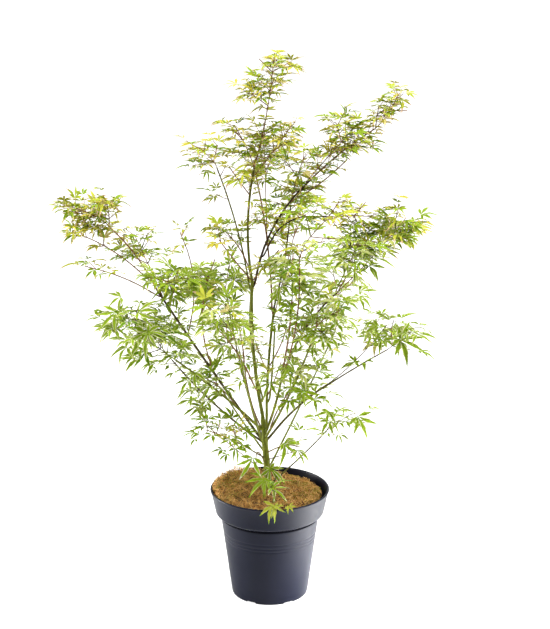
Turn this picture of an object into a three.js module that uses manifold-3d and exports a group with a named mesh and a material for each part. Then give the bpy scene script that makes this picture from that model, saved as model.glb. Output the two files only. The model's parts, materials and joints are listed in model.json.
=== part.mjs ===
// A young variegated Japanese maple in a plain round grow pot, in millimetres, with +Z up and
// +X to the right of the front view. The origin is the centre of the pot's flat underside.
import * as THREE from "three";
import { mergeVertices } from "three/addons/utils/BufferGeometryUtils.js";
import Module from "manifold-3d";

const wasm = await Module();
wasm.setup();

// Driving dimensions of the pot: a 19 cm grow pot with a deep rim band and a 2 mm wall.
const POT = {
  height: 177,
  lipRadius: 95,
  bandTopRadius: 93.6,
  bandLowRadius: 87,
  bandLowHeight: 145,
  bandFootRadius: 80.4,
  bandFootHeight: 134,
  bodyTopRadius: 78.6,
  baseRadius: 60.7,
  wall: 2,
  floor: 4,
  sides: 32,
};
const DRAIN = { count: 6, width: 18, height: 2.2, depth: 6 };

// The soil stops below the lip, and a mat of coir fibre lies on it, heaped up at the left.
const SOIL_TOP = 154;
const COIR = { radius: 86, edge: 12, dome: 5, leftHeap: 9, rightGap: 7, sectors: 24, padRadius: 13 };
const GAP = 0.3;

// The trunk stands on the mat and leans a little to the left on its way up to the fork.
const TRUNK = { foot: [-1, 0], top: [-11, 0, 296], radius: 5.1, topRadius: 4.6, flare: 4.2, flareHeight: 9 };

// Every bough: its name, the limb that carries it and how far along that it leaves, its tip, how far
// its middle bows off the straight line, and its radius at the foot and at the tip.
const BOUGHS = [
  ["leader_low", "trunk", 1, [-27, -8, 517], [-6, -1, -1], 2.7, 2.1],
  ["leader_mid", "leader_low", 1, [-23, -4, 698], [-8, 0, 0], 1.9, 1.4],
  ["leader_top", "leader_mid", 1, [-8, 0, 758], [1, 0, 0], 1.3, 1.0],
  ["left_spur", "leader_low", 0.95, [-81, 34, 690], [5, 1, 1], 1.2, 0.8],
  ["long_right_low", "leader_low", 0.975, [65, 44, 670], [-14, 1, 8], 1.7, 1.2],
  ["long_right_high", "long_right_low", 1, [162, 78, 741], [-2, -1, 3], 1.1, 0.8],
  ["right_arch", "long_right_low", 0.35, [87, -28, 627], [-12, 4, 20], 1.2, 0.8],
  ["stem_b_low", "trunk", 0.9, [7, 38, 464], [-3, -1, 0], 2.1, 1.7],
  ["stem_b_high", "stem_b_low", 1, [33, 66, 624], [4, 1, -1], 1.4, 0.9],
  ["stem_b_cross", "stem_b_low", 0.96, [-20, 26, 675], [5, 0, 1], 1.3, 0.9],
  ["stem_c_low", "trunk", 0.88, [21, -34, 388], [3, 1, 0], 2.0, 1.6],
  ["stem_c_high", "stem_c_low", 1, [34, -62, 506], [2, 1, 0], 1.4, 1.0],
  ["right_long", "stem_c_low", 0.94, [109, -40, 517], [-9, 0, 6], 1.4, 1.0],
  ["stem_red", "stem_c_low", 0.84, [44, -128, 582], [9, -7, -4], 1.1, 0.8],
  ["stem_d", "trunk", 0.84, [69, -112, 475], [7, 6, 0], 1.9, 1.2],
  ["low_right", "trunk", 0.82, [90, 14, 345], [-4, -1, 4], 1.9, 1.3],
  ["low_right_out", "low_right", 0.94, [180, -30, 416], [0, 1, 1], 1.1, 0.8],
  ["stem_f", "trunk", 0.6, [105, 122, 398], [0, 7, -6], 1.5, 0.9],
  ["low_back_right", "trunk", 0.28, [91, 104, 233], [5, -6, 5], 1.1, 0.8],
  ["stem_h", "trunk", 0.74, [-77, 62, 320], [-1, -3, 1], 1.6, 1.0],
  ["stem_i", "trunk", 0.8, [-156, 58, 372], [-4, 2, -6], 1.6, 1.0],
  ["stem_j", "trunk", 0.9, [-143, -64, 411], [2, 2, 2], 2.1, 1.2],
  ["stem_k_low", "trunk", 0.82, [-173, 12, 498], [-1, 0, -1], 2.1, 1.5],
  ["stem_k_high", "stem_k_low", 1, [-249, 6, 607], [5, 0, 4], 1.3, 0.8],
  ["stem_l", "trunk", 0.76, [-44, -124, 443], [-3, -3, -3], 1.5, 0.9],
  ["stem_m", "trunk", 0.78, [-71, 128, 469], [-5, 25, -18], 1.5, 0.9],
];

// Every mass of foliage: its name, the limb that carries it and how far along, the middle of its
// space, the space's half sizes along X, Y and Z, and the seed of its twigs.
const MASSES = [
  ["leaves_top", "leader_top", 1, [4, 2, 842], [62, 54, 62], 25],
  ["leaves_upper_left", "stem_b_cross", 1, [-46, 4, 744], [46, 46, 44], 48],
  ["leaves_upper_right", "leader_mid", 0.93, [22, -18, 748], [42, 46, 50], 17],
  ["leaves_left_spur", "left_spur", 1, [-94, 36, 705], [50, 44, 36], 42],
  ["leaves_upper_centre", "stem_b_high", 1, [47, 70, 675], [46, 50, 56], 6],
  ["leaves_far_right_tip", "long_right_high", 1, [188, 84, 778], [42, 46, 54], 80],
  ["leaves_long_bough", "long_right_low", 0.94, [114, 58, 728], [56, 48, 46], 33],
  ["leaves_right_high", "right_arch", 1, [134, -6, 622], [62, 54, 44], 67],
  ["leaves_right_out", "right_long", 1, [192, -14, 604], [58, 54, 50], 88],
  ["leaves_right_low", "right_long", 0.93, [126, -62, 576], [52, 50, 44], 45],
  ["leaves_centre", "stem_c_high", 1, [32, -70, 558], [48, 46, 46], 5],
  ["leaves_front_right", "stem_red", 1, [71, -140, 630], [54, 50, 50], 76],
  ["leaves_right_mid", "stem_d", 1, [93, -124, 498], [50, 50, 38], 16],
  ["leaves_low_right_top", "low_right", 1, [174, 60, 417], [50, 46, 32], 18],
  ["leaves_low_right_tip", "low_right_out", 1, [202, -28, 438], [52, 46, 32], 77],
  ["leaves_back_right", "stem_f", 1, [105, 150, 463], [54, 50, 50], 72],
  ["leaves_low_right_fan", "low_back_right", 1, [117, 118, 247], [54, 46, 30], 56],
  ["leaves_left_bottom", "stem_h", 1, [-101, 76, 331], [46, 46, 40], 18],
  ["leaves_left_low_in", "stem_i", 1, [-175, 64, 395], [44, 46, 46], 67],
  ["leaves_left_low_out", "stem_j", 1, [-207, -58, 458], [58, 52, 54], 86],
  ["leaves_left_mid", "stem_k_low", 0.9, [-142, -30, 530], [56, 50, 42], 82],
  ["leaves_left_wing", "stem_k_low", 0.96, [-204, 44, 566], [50, 46, 36], 81],
  ["leaves_far_left", "stem_k_high", 1, [-280, 4, 624], [50, 48, 46], 79],
  ["leaves_inner_left", "stem_m", 1, [-94, 134, 482], [56, 54, 48], 83],
  ["leaves_front_left", "stem_l", 1, [-69, -146, 496], [54, 50, 48], 70],
  ["leaves_back_high", "stem_b_low", 0.9, [48, 156, 590], [54, 50, 50], 28],
  ["leaves_back_top", "stem_b_cross", 0.6, [-8, 112, 690], [50, 48, 48], 11],
  ["leaves_low_left", "trunk", 0.56, [-88, -30, 284], [50, 44, 30], 68],
  ["leaves_low_right", "trunk", 0.7, [38, -38, 252], [40, 38, 28], 23],
  ["leaves_front", "trunk", 0.16, [6, -70, 200], [60, 52, 34], 32],
];

// One leaf: how far its blade's middle lies from its root, its lobes' bearings and lengths from that
// middle, the clefts between the lobes, its thickness at the middle and how far its tips droop. The
// turns are tried in order, blades stay apart by some, and slack is how far a tip may pass the bounds.
const LEAF = {
  stalk: 12,
  lobes: [-98, -47, 0, 47, 98],
  lengths: [20, 30, 34, 30, 20],
  cleft: 8.5,
  thickness: 1.5,
  droop: 0.22,
  lobeHalfWidth: 3.6,
  turns: [0, 0.5, -0.5, 1, -1],
  apart: 2.4,
  slack: 0.3,
};

// One twig, how far apart they leave the stem, and how far along it the twig's side leaves sit.
const TWIG = {
  radius: 1.05,
  tipRadius: 0.7,
  spacing: 17,
  shortest: 10,
  longest: 36,
  clear: 0.5,
  beyondTip: 20,
  pairAt: 0.55,
};

// The stem of a mass runs on past the middle of its space, and ends in a leaf above a pair.
const STEM = { beyond: 0.45, leafAt: 0.99, pairAt: 0.93 };

// The length of one straight stretch of a limb, and of the first one after a flat joint.
const STRETCH = 38;
const FIRST_STRETCH = 3;

const COLOURS = {
  pot: 0x2b303b,
  soil: 0x2e2118,
  coir: 0x9a6f3a,
  bark: 0x7f8f4a,
  leaf: 0x8fb04a,
};

const UP = new THREE.Vector3(0, 0, 1);
const vec = (list) => new THREE.Vector3(...list);

// The same numbers come out for the same seed, so the plant grows the same way each time.
function seeded(seed) {
  let state = (seed * 7919 + 12345) >>> 0;
  return () => {
    state = (Math.imul(state, 1664525) + 1013904223) >>> 0;
    return state / 4294967296;
  };
}

// Solids and meshes
function solidFrom(geometry) {
  geometry.deleteAttribute("normal");
  geometry.deleteAttribute("uv");
  const merged = mergeVertices(geometry, 1e-4);
  return new wasm.Manifold(
    new wasm.Mesh({
      numProp: 3,
      vertProperties: new Float32Array(merged.attributes.position.array),
      triVerts: new Uint32Array(merged.index.array),
    }),
  );
}

function meshFrom(name, solid, colour, roughness) {
  const made = solid.getMesh();
  const geometry = new THREE.BufferGeometry();
  geometry.setAttribute("position", new THREE.BufferAttribute(made.vertProperties, 3));
  geometry.setIndex(new THREE.BufferAttribute(made.triVerts, 1));
  geometry.computeVertexNormals();
  const material = new THREE.MeshStandardMaterial({ color: colour, roughness, metalness: 0 });
  const mesh = new THREE.Mesh(geometry, material);
  mesh.name = name;
  return mesh;
}

function indexed(points, triangles) {
  const geometry = new THREE.BufferGeometry();
  const flat = points.flatMap((point) => [point.x, point.y, point.z]);
  geometry.setAttribute("position", new THREE.Float32BufferAttribute(flat, 3));
  geometry.setIndex(triangles);
  return geometry;
}

// A closed tapering tube: rings of equal sides round the route, and a flat cap at each end.
function tube(route, radii, sides) {
  const points = [];
  const triangles = [];
  let across = new THREE.Vector3(1, 0, 0);
  route.forEach((centre, i) => {
    const before = route[Math.max(i - 1, 0)];
    const after = route[Math.min(i + 1, route.length - 1)];
    const along = new THREE.Vector3().subVectors(after, before).normalize();
    across = across.clone().addScaledVector(along, -across.dot(along)).normalize();
    const third = new THREE.Vector3().crossVectors(along, across);
    for (let k = 0; k < sides; k++) {
      const angle = (2 * Math.PI * k) / sides;
      points.push(
        centre
          .clone()
          .addScaledVector(across, radii[i] * Math.cos(angle))
          .addScaledVector(third, radii[i] * Math.sin(angle)),
      );
    }
  });
  const last = (route.length - 1) * sides;
  for (let i = 0; i < last; i += sides) {
    for (let k = 0; k < sides; k++) {
      const next = (k + 1) % sides;
      triangles.push(i + k, i + next, i + sides + next, i + k, i + sides + next, i + sides + k);
    }
  }
  for (let k = 1; k < sides - 1; k++) {
    triangles.push(0, k + 1, k, last, last + k, last + k + 1);
  }
  return solidFrom(indexed(points, triangles));
}

// Pot, soil and mat
function potRadius(height) {
  const slope = (POT.bodyTopRadius - POT.baseRadius) / POT.bandFootHeight;
  return POT.baseRadius + slope * height;
}

function makePot() {
  const outer = [
    [0, 0],
    [POT.baseRadius, 0],
    [POT.bodyTopRadius, POT.bandFootHeight],
    [POT.bandFootRadius, POT.bandFootHeight],
    [POT.bandLowRadius - 1.8, POT.bandLowHeight - 5],
    [POT.bandLowRadius, POT.bandLowHeight],
    [POT.bandTopRadius, POT.height - 4],
    [POT.lipRadius, POT.height - 3],
    [POT.lipRadius - 0.5, POT.height],
  ];
  const inner = [
    [POT.bandTopRadius - POT.wall, POT.height],
    [POT.bandLowRadius - POT.wall, POT.bandLowHeight],
    [POT.bodyTopRadius - POT.wall, POT.bandFootHeight],
    [potRadius(POT.floor) - POT.wall, POT.floor],
    [0, POT.floor],
  ];
  const profile = [...outer, ...inner].map(([radius, height]) => new THREE.Vector2(radius, height));
  const lathe = new THREE.LatheGeometry(profile, POT.sides);
  lathe.rotateX(Math.PI / 2);
  let pot = solidFrom(lathe);
  for (let i = 0; i < DRAIN.count; i++) {
    const notch = new THREE.BoxGeometry(2 * DRAIN.depth, DRAIN.width, 2 * DRAIN.height);
    notch.translate(POT.baseRadius, 0, 0);
    notch.rotateZ(((i - 0.5) * 2 * Math.PI) / DRAIN.count + Math.PI / 2);
    pot = pot.subtract(solidFrom(notch));
  }
  return pot;
}

function makeRootBall() {
  const edge = (height) => potRadius(height) - POT.wall - 2 * GAP;
  const above = POT.bodyTopRadius - POT.wall - 2 * GAP;
  const profile = [
    [0, POT.floor + GAP],
    [edge(POT.floor + GAP), POT.floor + GAP],
    [above, POT.bandFootHeight],
    [above + 6, SOIL_TOP],
    [0, SOIL_TOP],
  ].map(([radius, height]) => new THREE.Vector2(radius, height));
  const lathe = new THREE.LatheGeometry(profile, POT.sides / 2);
  lathe.rotateX(Math.PI / 2);
  return solidFrom(lathe);
}

// The mat is highest at the left and thins out at the right, where it leaves a gap to the wall.
function coirRadius(angle) {
  return COIR.radius - COIR.rightGap * Math.max(Math.cos(angle - 0.6), 0) + Math.sin(5 * angle);
}

function coirTop(x, y) {
  const share = Math.hypot(x, y) / COIR.radius;
  const heap = COIR.leftHeap * Math.max((0.35 * y - x) / COIR.radius, 0) ** 1.5;
  const waves = 0.8 * Math.sin(x / 9) * Math.cos(y / 11) * Math.min(share * 2, 1);
  return SOIL_TOP + COIR.edge + COIR.dome * (1 - share ** 3) + heap + waves;
}
const PAD_HEIGHT = SOIL_TOP + COIR.edge + COIR.dome;

function makeCoir() {
  const shares = [0.45, 0.72, 0.9, 1];
  const points = [new THREE.Vector3(0, 0, PAD_HEIGHT)];
  const ringAt = (ring, k) => 1 + ring * COIR.sectors + (k % COIR.sectors);
  for (let k = 0; k < COIR.sectors; k++) {
    const angle = (2 * Math.PI * k) / COIR.sectors;
    points.push(
      new THREE.Vector3(COIR.padRadius * Math.cos(angle), COIR.padRadius * Math.sin(angle), PAD_HEIGHT),
    );
  }
  for (const share of shares) {
    for (let k = 0; k < COIR.sectors; k++) {
      const angle = (2 * Math.PI * k) / COIR.sectors;
      const radius = share * coirRadius(angle);
      const [x, y] = [radius * Math.cos(angle), radius * Math.sin(angle)];
      points.push(new THREE.Vector3(x, y, coirTop(x, y)));
    }
  }
  for (let k = 0; k < COIR.sectors; k++) {
    const angle = (2 * Math.PI * k) / COIR.sectors;
    const radius = coirRadius(angle) - 3;
    points.push(new THREE.Vector3(radius * Math.cos(angle), radius * Math.sin(angle), SOIL_TOP + GAP));
  }
  points.push(new THREE.Vector3(0, 0, SOIL_TOP + GAP));
  const bottom = points.length - 1;
  const triangles = [];
  for (let k = 0; k < COIR.sectors; k++) {
    triangles.push(0, ringAt(0, k), ringAt(0, k + 1));
    triangles.push(bottom, ringAt(5, k + 1), ringAt(5, k));
    for (let ring = 0; ring < 5; ring++) {
      triangles.push(ringAt(ring, k), ringAt(ring + 1, k), ringAt(ring + 1, k + 1));
      triangles.push(ringAt(ring, k), ringAt(ring + 1, k + 1), ringAt(ring, k + 1));
    }
  }
  return solidFrom(indexed(points, triangles));
}

// Limbs: each is a route of points with a radius at each, and the parent that it grows out of.
const limbs = new Map();

function pointOn(limb, share) {
  const place = Math.min(Math.max(share, 0), 1) * (limb.curve.length - 1);
  const i = Math.min(Math.floor(place), limb.curve.length - 2);
  const part = place - i;
  return {
    point: new THREE.Vector3().lerpVectors(limb.curve[i], limb.curve[i + 1], part),
    along: new THREE.Vector3().subVectors(limb.curve[i + 1], limb.curve[i]).normalize(),
    radius: THREE.MathUtils.lerp(limb.radii[i], limb.radii[i + 1], part),
  };
}

// Where a limb starts on its parent. One at the very tip goes straight on, 0.3 mm clear of it.
// Any other starts inside the parent and has a knee beside it, and is cut clear of it later.
function startOn(parent, share, towards, radius) {
  const { point, along, radius: thick } = pointOn(parent, share);
  if (share === 1) {
    const start = point.clone().addScaledVector(along, GAP);
    return { lead: [], start, along };
  }
  const away = new THREE.Vector3().subVectors(towards, point);
  const straight = away.clone().normalize();
  away.addScaledVector(along, -away.dot(along)).normalize();
  const beside = thick + radius + 0.9;
  const knee = point
    .clone()
    .addScaledVector(away, beside)
    .addScaledVector(along, beside * Math.min(Math.max(straight.dot(along), 0.2) * 1.3, 1.3));
  return { lead: [point], start: knee, along: straight };
}

function bentRoute(start, control, end, steps) {
  return new THREE.QuadraticBezierCurve3(start, control, end).getPoints(steps);
}

function growTrunk() {
  const bottom = PAD_HEIGHT + GAP;
  const foot = new THREE.Vector3(TRUNK.foot[0], TRUNK.foot[1], bottom);
  const top = vec(TRUNK.top);
  const shares = [0, 0.03, 0.08, 0.16, 0.35, 0.7, 1];
  const curve = shares.map((share) => new THREE.Vector3().lerpVectors(foot, top, share));
  curve[1].setX(foot.x).setY(foot.y);
  const radii = shares.map((share) => {
    const body = THREE.MathUtils.lerp(TRUNK.radius, TRUNK.topRadius, share);
    const rise = share * (top.z - bottom);
    return body + TRUNK.flare * Math.exp(-rise / TRUNK.flareHeight);
  });
  limbs.set("trunk", { name: "trunk", curve, radii, sides: 10 });
}

function growBough([name, parentName, share, tip, bow, footRadius, tipRadius]) {
  const parent = limbs.get(parentName);
  const end = vec(tip);
  const { lead, start, along } = startOn(parent, share, end, footRadius);
  const length = start.distanceTo(end);
  const middle = new THREE.Vector3().lerpVectors(start, end, 0.5).addScaledVector(vec(bow), 2);
  const steps = Math.max(Math.round(length / STRETCH), 3);
  let route = bentRoute(start, middle, end, steps);
  if (share === 1) {
    // the first stretch follows the parent's own direction, so the two flat ends stay parallel
    const first = start.clone().addScaledVector(along, FIRST_STRETCH);
    route = [start, first, ...bentRoute(first, middle, end, steps).slice(1)];
  }
  const curve = [...lead, ...route];
  const radii = curve.map((_, i) => THREE.MathUtils.lerp(footRadius, tipRadius, i / (curve.length - 1)));
  limbs.set(name, { name, parent, share, curve, radii, sides: footRadius > 1.55 ? 7 : 5 });
}

function limbSolid(limb) {
  let solid = tube(limb.curve, limb.radii, limb.sides);
  if (limb.parent && limb.share !== 1) {
    solid = solid.subtract(swollen(limb.parent));
  }
  return largest(solid);
}

// The limb grown by the clearance that its neighbours keep.
function swollen(limb) {
  const spread = GAP / Math.cos(Math.PI / limb.sides);
  return tube(limb.curve, limb.radii.map((radius) => radius + spread), limb.sides);
}

// Keeps the one real body: loose scraps and the shells of sealed hollows go.
function largest(solid) {
  const bodies = solid.decompose();
  return bodies.reduce((best, body) => (body.volume() > best.volume() ? body : best));
}

// Distance between two straight stretches
function stretchDistance(a0, a1, b0, b1) {
  const u = new THREE.Vector3().subVectors(a1, a0);
  const v = new THREE.Vector3().subVectors(b1, b0);
  const w = new THREE.Vector3().subVectors(a0, b0);
  const [a, b, c, d, e] = [u.dot(u), u.dot(v), v.dot(v), u.dot(w), v.dot(w)];
  const area = a * c - b * b;
  let s = area > 1e-9 ? THREE.MathUtils.clamp((b * e - c * d) / area, 0, 1) : 0;
  const t = THREE.MathUtils.clamp((b * s + e) / Math.max(c, 1e-9), 0, 1);
  s = THREE.MathUtils.clamp((b * t - d) / Math.max(a, 1e-9), 0, 1);
  return w.addScaledVector(u, s).addScaledVector(v, -t).length();
}

function touchesLimb(from, to, halfWidth, obstacles) {
  return obstacles.some((limb) =>
    limb.curve.some((point, i) => {
      if (i === limb.curve.length - 1) return false;
      const reach = Math.max(limb.radii[i], limb.radii[i + 1]) + halfWidth + TWIG.clear;
      return stretchDistance(from, to, point, limb.curve[i + 1]) < reach;
    }),
  );
}

// A point is in a mass's space when it is inside its rounded bounds and nearer, weighted by size,
// to its middle than to any other mass's, so no two spaces overlap.
const spaces = MASSES.map(([name, , , middle, half]) => ({
  name,
  middle: vec(middle),
  half,
  weight: ((half[0] + half[1] + half[2]) / 3) ** 2,
}));

function roundDistance(space, point) {
  const [rx, ry, rz] = space.half;
  const { x, y, z } = point.clone().sub(space.middle);
  return Math.hypot(x / rx, y / ry, z / rz);
}

function inSpace(space, point, slack) {
  if (roundDistance(space, point) > 1 + slack) return false;
  const own = point.distanceToSquared(space.middle) - space.weight;
  return spaces.every((other) => {
    if (other === space) return true;
    const margin = 1.2 * space.middle.distanceTo(other.middle);
    return own + margin < point.distanceToSquared(other.middle) - other.weight;
  });
}

// The blade hangs clear of the pot's lip and of the mat.
function clearOfPot(point) {
  const out = Math.hypot(point.x, point.y);
  if (point.z > POT.height + 2) return true;
  if (out > POT.lipRadius + 2) return true;
  return out < POT.lipRadius - 14 && point.z > coirTop(point.x, point.y) + 2;
}

// One leaf as a thin drooping star. Its root lies on the middle line of the twig that bears it.
function leafPoints(root, along, normal) {
  const side = new THREE.Vector3().crossVectors(normal, along).normalize();
  const lift = new THREE.Vector3().crossVectors(along, side).normalize();
  const centre = root.clone().addScaledVector(along, LEAF.stalk);
  const at = (degrees, length) => {
    const angle = THREE.MathUtils.degToRad(degrees);
    return centre
      .clone()
      .addScaledVector(along, length * Math.cos(angle))
      .addScaledVector(side, length * Math.sin(angle))
      .addScaledVector(lift, (-LEAF.droop * length ** 2) / LEAF.lengths[2]);
  };
  const tips = LEAF.lobes.map((degrees, i) => at(degrees, LEAF.lengths[i]));
  const clefts = LEAF.lobes.slice(1).map((degrees, i) => at((degrees + LEAF.lobes[i]) / 2, LEAF.cleft));
  return { root, centre, lift, tips, clefts };
}

function leafSolid({ root, centre, lift, tips, clefts }) {
  const outline = [root];
  tips.forEach((tip, i) => {
    outline.push(tip);
    if (i < clefts.length) outline.push(clefts[i]);
  });
  const top = centre.clone().addScaledVector(lift, LEAF.thickness / 2);
  const under = centre.clone().addScaledVector(lift, -LEAF.thickness / 2);
  const points = [...outline, top, under];
  const count = outline.length;
  const triangles = [];
  for (let i = 0; i < count; i++) {
    const next = (i + 1) % count;
    triangles.push(count, i, next, count + 1, next, i);
  }
  return solidFrom(indexed(points, triangles));
}

// Grows one mass: a stem, pairs of twigs along it turned a quarter turn from pair to pair, and
// leaves in pairs and at the tips. What would leave the space or touch a limb is skipped.
function stemOf([name, limbName, share, middle, half], space) {
  const parent = limbs.get(limbName);
  const centre = vec(middle);
  const { lead, start, along } = startOn(parent, share, centre, TWIG.radius);
  const heading = new THREE.Vector3().subVectors(centre, start);
  const distance = heading.length();
  heading.normalize();
  const depth = 1 / Math.hypot(heading.x / half[0], heading.y / half[1], heading.z / half[2]);
  const beyond = STEM.beyond * depth;
  const end = centre.clone().addScaledVector(heading, beyond);
  const control = start.clone().addScaledVector(along, distance * 0.5);
  const steps = Math.max(Math.round((distance + beyond) / STRETCH), 2);
  let route = bentRoute(start, control, end, steps);
  if (share === 1) {
    const first = start.clone().addScaledVector(along, FIRST_STRETCH);
    route = [start, first, ...bentRoute(first, control, end, steps).slice(1)];
  }
  const curve = [...lead, ...route];
  const radius = Math.min(TWIG.radius, pointOn(parent, share).radius);
  const radii = curve.map((_, i) =>
    THREE.MathUtils.lerp(radius, TWIG.tipRadius, i / (curve.length - 1)),
  );
  return { name, parent, share, curve, radii, sides: 3, space };
}

function lobesTouch(leaf, obstacles) {
  return leaf.tips.some((tip) => touchesLimb(leaf.centre, tip, LEAF.lobeHalfWidth, obstacles));
}

function bladeTouches(leaf, obstacles) {
  return lobesTouch(leaf, obstacles) || touchesLimb(leaf.root, leaf.centre, 1, obstacles);
}

function bladesCross(leaf, other) {
  if (leaf.centre.distanceTo(other.centre) > 2 * LEAF.lengths[2]) return false;
  return leaf.tips.some((tip) =>
    other.tips.some((far) => stretchDistance(leaf.centre, tip, other.centre, far) < LEAF.apart),
  );
}

function growMass(stem, seed, obstacles) {
  const random = seeded(seed);
  const swing = (size) => (random() * 2 - 1) * size;
  const twigs = [];
  const leaves = [];
  const fits = (point, slack) => inSpace(stem.space, point, slack) && clearOfPot(point);

  // tries the heading, then one turned either way, and takes the first leaf that fits
  const addLeaf = (root, heading, bearer) => {
    const level = new THREE.Vector3(heading.x, heading.y, 0).normalize();
    level.z = heading.z * 0.4 - 0.1 + swing(0.2);
    const normal = new THREE.Vector3(swing(0.35), swing(0.35), 1);
    for (const turn of LEAF.turns) {
      const along = level.clone().applyAxisAngle(UP, turn).normalize();
      const leaf = leafPoints(root, along, normal);
      if (![root, leaf.centre, ...leaf.tips].every((point) => fits(point, LEAF.slack))) continue;
      if (bladeTouches(leaf, obstacles)) continue;
      if (leaves.some((other) => bladesCross(leaf, other))) continue;
      if (lobesTouch(leaf, [bearer, stem, ...twigs])) continue;
      leaves.push(leaf);
      return true;
    }
    return false;
  };

  const addTwig = (root, heading) => {
    let length = TWIG.longest * (0.7 + 0.3 * random());
    const tipAt = (size) => root.clone().addScaledVector(heading, size);
    while (length > TWIG.shortest && !fits(tipAt(length + TWIG.beyondTip), LEAF.slack)) length -= 4;
    if (length <= TWIG.shortest) return addLeaf(root, heading, stem);
    if (touchesLimb(root, tipAt(length), TWIG.radius, obstacles)) return false;
    const twig = { curve: [root, tipAt(length)], radii: [TWIG.radius * 0.85, TWIG.tipRadius], sides: 3 };
    if (leaves.some((leaf) => bladeTouches(leaf, [twig]))) return false;
    const across = new THREE.Vector3().crossVectors(UP, heading).normalize();
    let borne = addLeaf(tipAt(length - 1), heading, twig);
    for (const hand of [1, -1]) {
      const sideways = heading.clone().multiplyScalar(0.15).addScaledVector(across, hand);
      borne = addLeaf(tipAt(length * TWIG.pairAt), sideways, twig) || borne;
    }
    if (borne) twigs.push(twig);
    return borne;
  };

  const length = stem.curve.reduce(
    (sum, point, i) => (i ? sum + point.distanceTo(stem.curve[i - 1]) : 0),
    0,
  );
  const nodes = Math.floor(length / TWIG.spacing);
  for (let i = 1; i < nodes; i++) {
    const { point, along } = pointOn(stem, i / nodes);
    if (!inSpace(stem.space, point, 0)) continue;
    const level = new THREE.Vector3().crossVectors(UP, along).normalize();
    const steep = new THREE.Vector3().crossVectors(along, level).normalize();
    const turn = (i % 2) * (Math.PI / 2) + swing(0.5);
    for (const hand of [1, -1]) {
      const heading = along
        .clone()
        .multiplyScalar(0.55 + swing(0.15))
        .addScaledVector(level, hand * Math.cos(turn))
        .addScaledVector(steep, hand * Math.sin(turn) * 0.8);
      addTwig(point, heading.normalize());
    }
  }
  const { point, along } = pointOn(stem, STEM.leafAt);
  addLeaf(point, along, stem);
  const pairAt = pointOn(stem, STEM.pairAt).point;
  const across = new THREE.Vector3().crossVectors(UP, along).normalize();
  for (const hand of [1, -1]) {
    addLeaf(pairAt, along.clone().multiplyScalar(0.2).addScaledVector(across, hand), stem);
  }
  return { twigs, leaves };
}

function massSolid(stem, { twigs, leaves }) {
  let stemSolid = tube(stem.curve, stem.radii, stem.sides);
  if (stem.share !== 1) stemSolid = stemSolid.subtract(swollen(stem.parent));
  const pieces = [largest(stemSolid)];
  for (const twig of twigs) pieces.push(tube(twig.curve, twig.radii, twig.sides));
  for (const leaf of leaves) pieces.push(leafSolid(leaf));
  return largest(wasm.Manifold.union(pieces));
}

// The whole plant
growTrunk();
BOUGHS.forEach(growBough);
const stems = MASSES.map((row, i) => stemOf(row, spaces[i]));

const plant = new THREE.Group();
plant.add(meshFrom("pot", makePot(), COLOURS.pot, 0.45));
plant.add(meshFrom("root_ball", makeRootBall(), COLOURS.soil, 0.95));
plant.add(meshFrom("coir_mat", makeCoir(), COLOURS.coir, 0.95));
for (const limb of limbs.values()) {
  plant.add(meshFrom(limb.name, limbSolid(limb), COLOURS.bark, 0.7));
}
stems.forEach((stem, i) => {
  const obstacles = [...limbs.values(), ...stems.filter((other) => other !== stem)];
  const seed = MASSES[i][5];
  const growth = growMass(stem, seed, obstacles);
  plant.add(meshFrom(stem.name, massSolid(stem, growth), COLOURS.leaf, 0.6));
});

export default plant;
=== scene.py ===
# %% [markdown]
# # A potted variegated maple
# The plant was built first as closed solids: a grow pot, its root ball and coir mat, a trunk, boughs
# and masses of foliage. This file loads them as a fixed frame and makes what the eye sees: a moulded
# pot, loose coir fibre, bark, fine twigs and about two thousand small lobed leaves. Everything is
# in metres, with Z up and the pot's underside at the origin.

import json
import math
import random

import bpy
import numpy as np
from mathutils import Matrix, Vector, noise

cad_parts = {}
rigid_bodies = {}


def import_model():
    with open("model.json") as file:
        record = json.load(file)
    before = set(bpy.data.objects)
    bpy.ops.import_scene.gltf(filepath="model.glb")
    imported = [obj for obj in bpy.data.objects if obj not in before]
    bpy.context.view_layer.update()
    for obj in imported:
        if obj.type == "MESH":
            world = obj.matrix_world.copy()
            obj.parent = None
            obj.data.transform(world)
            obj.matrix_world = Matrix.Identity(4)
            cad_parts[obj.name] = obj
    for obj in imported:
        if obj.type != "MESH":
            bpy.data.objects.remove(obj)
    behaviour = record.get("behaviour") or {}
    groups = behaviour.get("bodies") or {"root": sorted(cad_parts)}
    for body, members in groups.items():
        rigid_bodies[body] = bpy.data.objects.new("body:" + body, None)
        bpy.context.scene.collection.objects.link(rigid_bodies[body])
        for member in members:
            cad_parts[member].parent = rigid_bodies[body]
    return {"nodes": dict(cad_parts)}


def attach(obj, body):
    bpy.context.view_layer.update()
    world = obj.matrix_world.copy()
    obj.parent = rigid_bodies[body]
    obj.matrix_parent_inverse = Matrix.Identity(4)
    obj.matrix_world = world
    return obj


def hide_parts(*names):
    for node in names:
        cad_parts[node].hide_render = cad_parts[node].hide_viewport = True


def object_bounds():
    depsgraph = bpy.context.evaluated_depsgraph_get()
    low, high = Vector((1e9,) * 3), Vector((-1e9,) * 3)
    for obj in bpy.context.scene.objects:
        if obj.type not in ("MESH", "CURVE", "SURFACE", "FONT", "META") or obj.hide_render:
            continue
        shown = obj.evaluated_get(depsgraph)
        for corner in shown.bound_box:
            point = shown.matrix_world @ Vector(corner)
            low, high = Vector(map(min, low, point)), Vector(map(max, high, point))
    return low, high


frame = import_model()
cad_low, cad_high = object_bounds()
MM = 0.001


def lerp(a, b, share):
    return a + (b - a) * share


print("solids from", [round(v, 3) for v in cad_low], "to", [round(v, 3) for v in cad_high])

# %% [markdown]
# The camera comes first, because every later choice is judged through it. The photograph was taken
# from about 2.6 m away with a long lens, a little above the plant and looking down on the pot.

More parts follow.
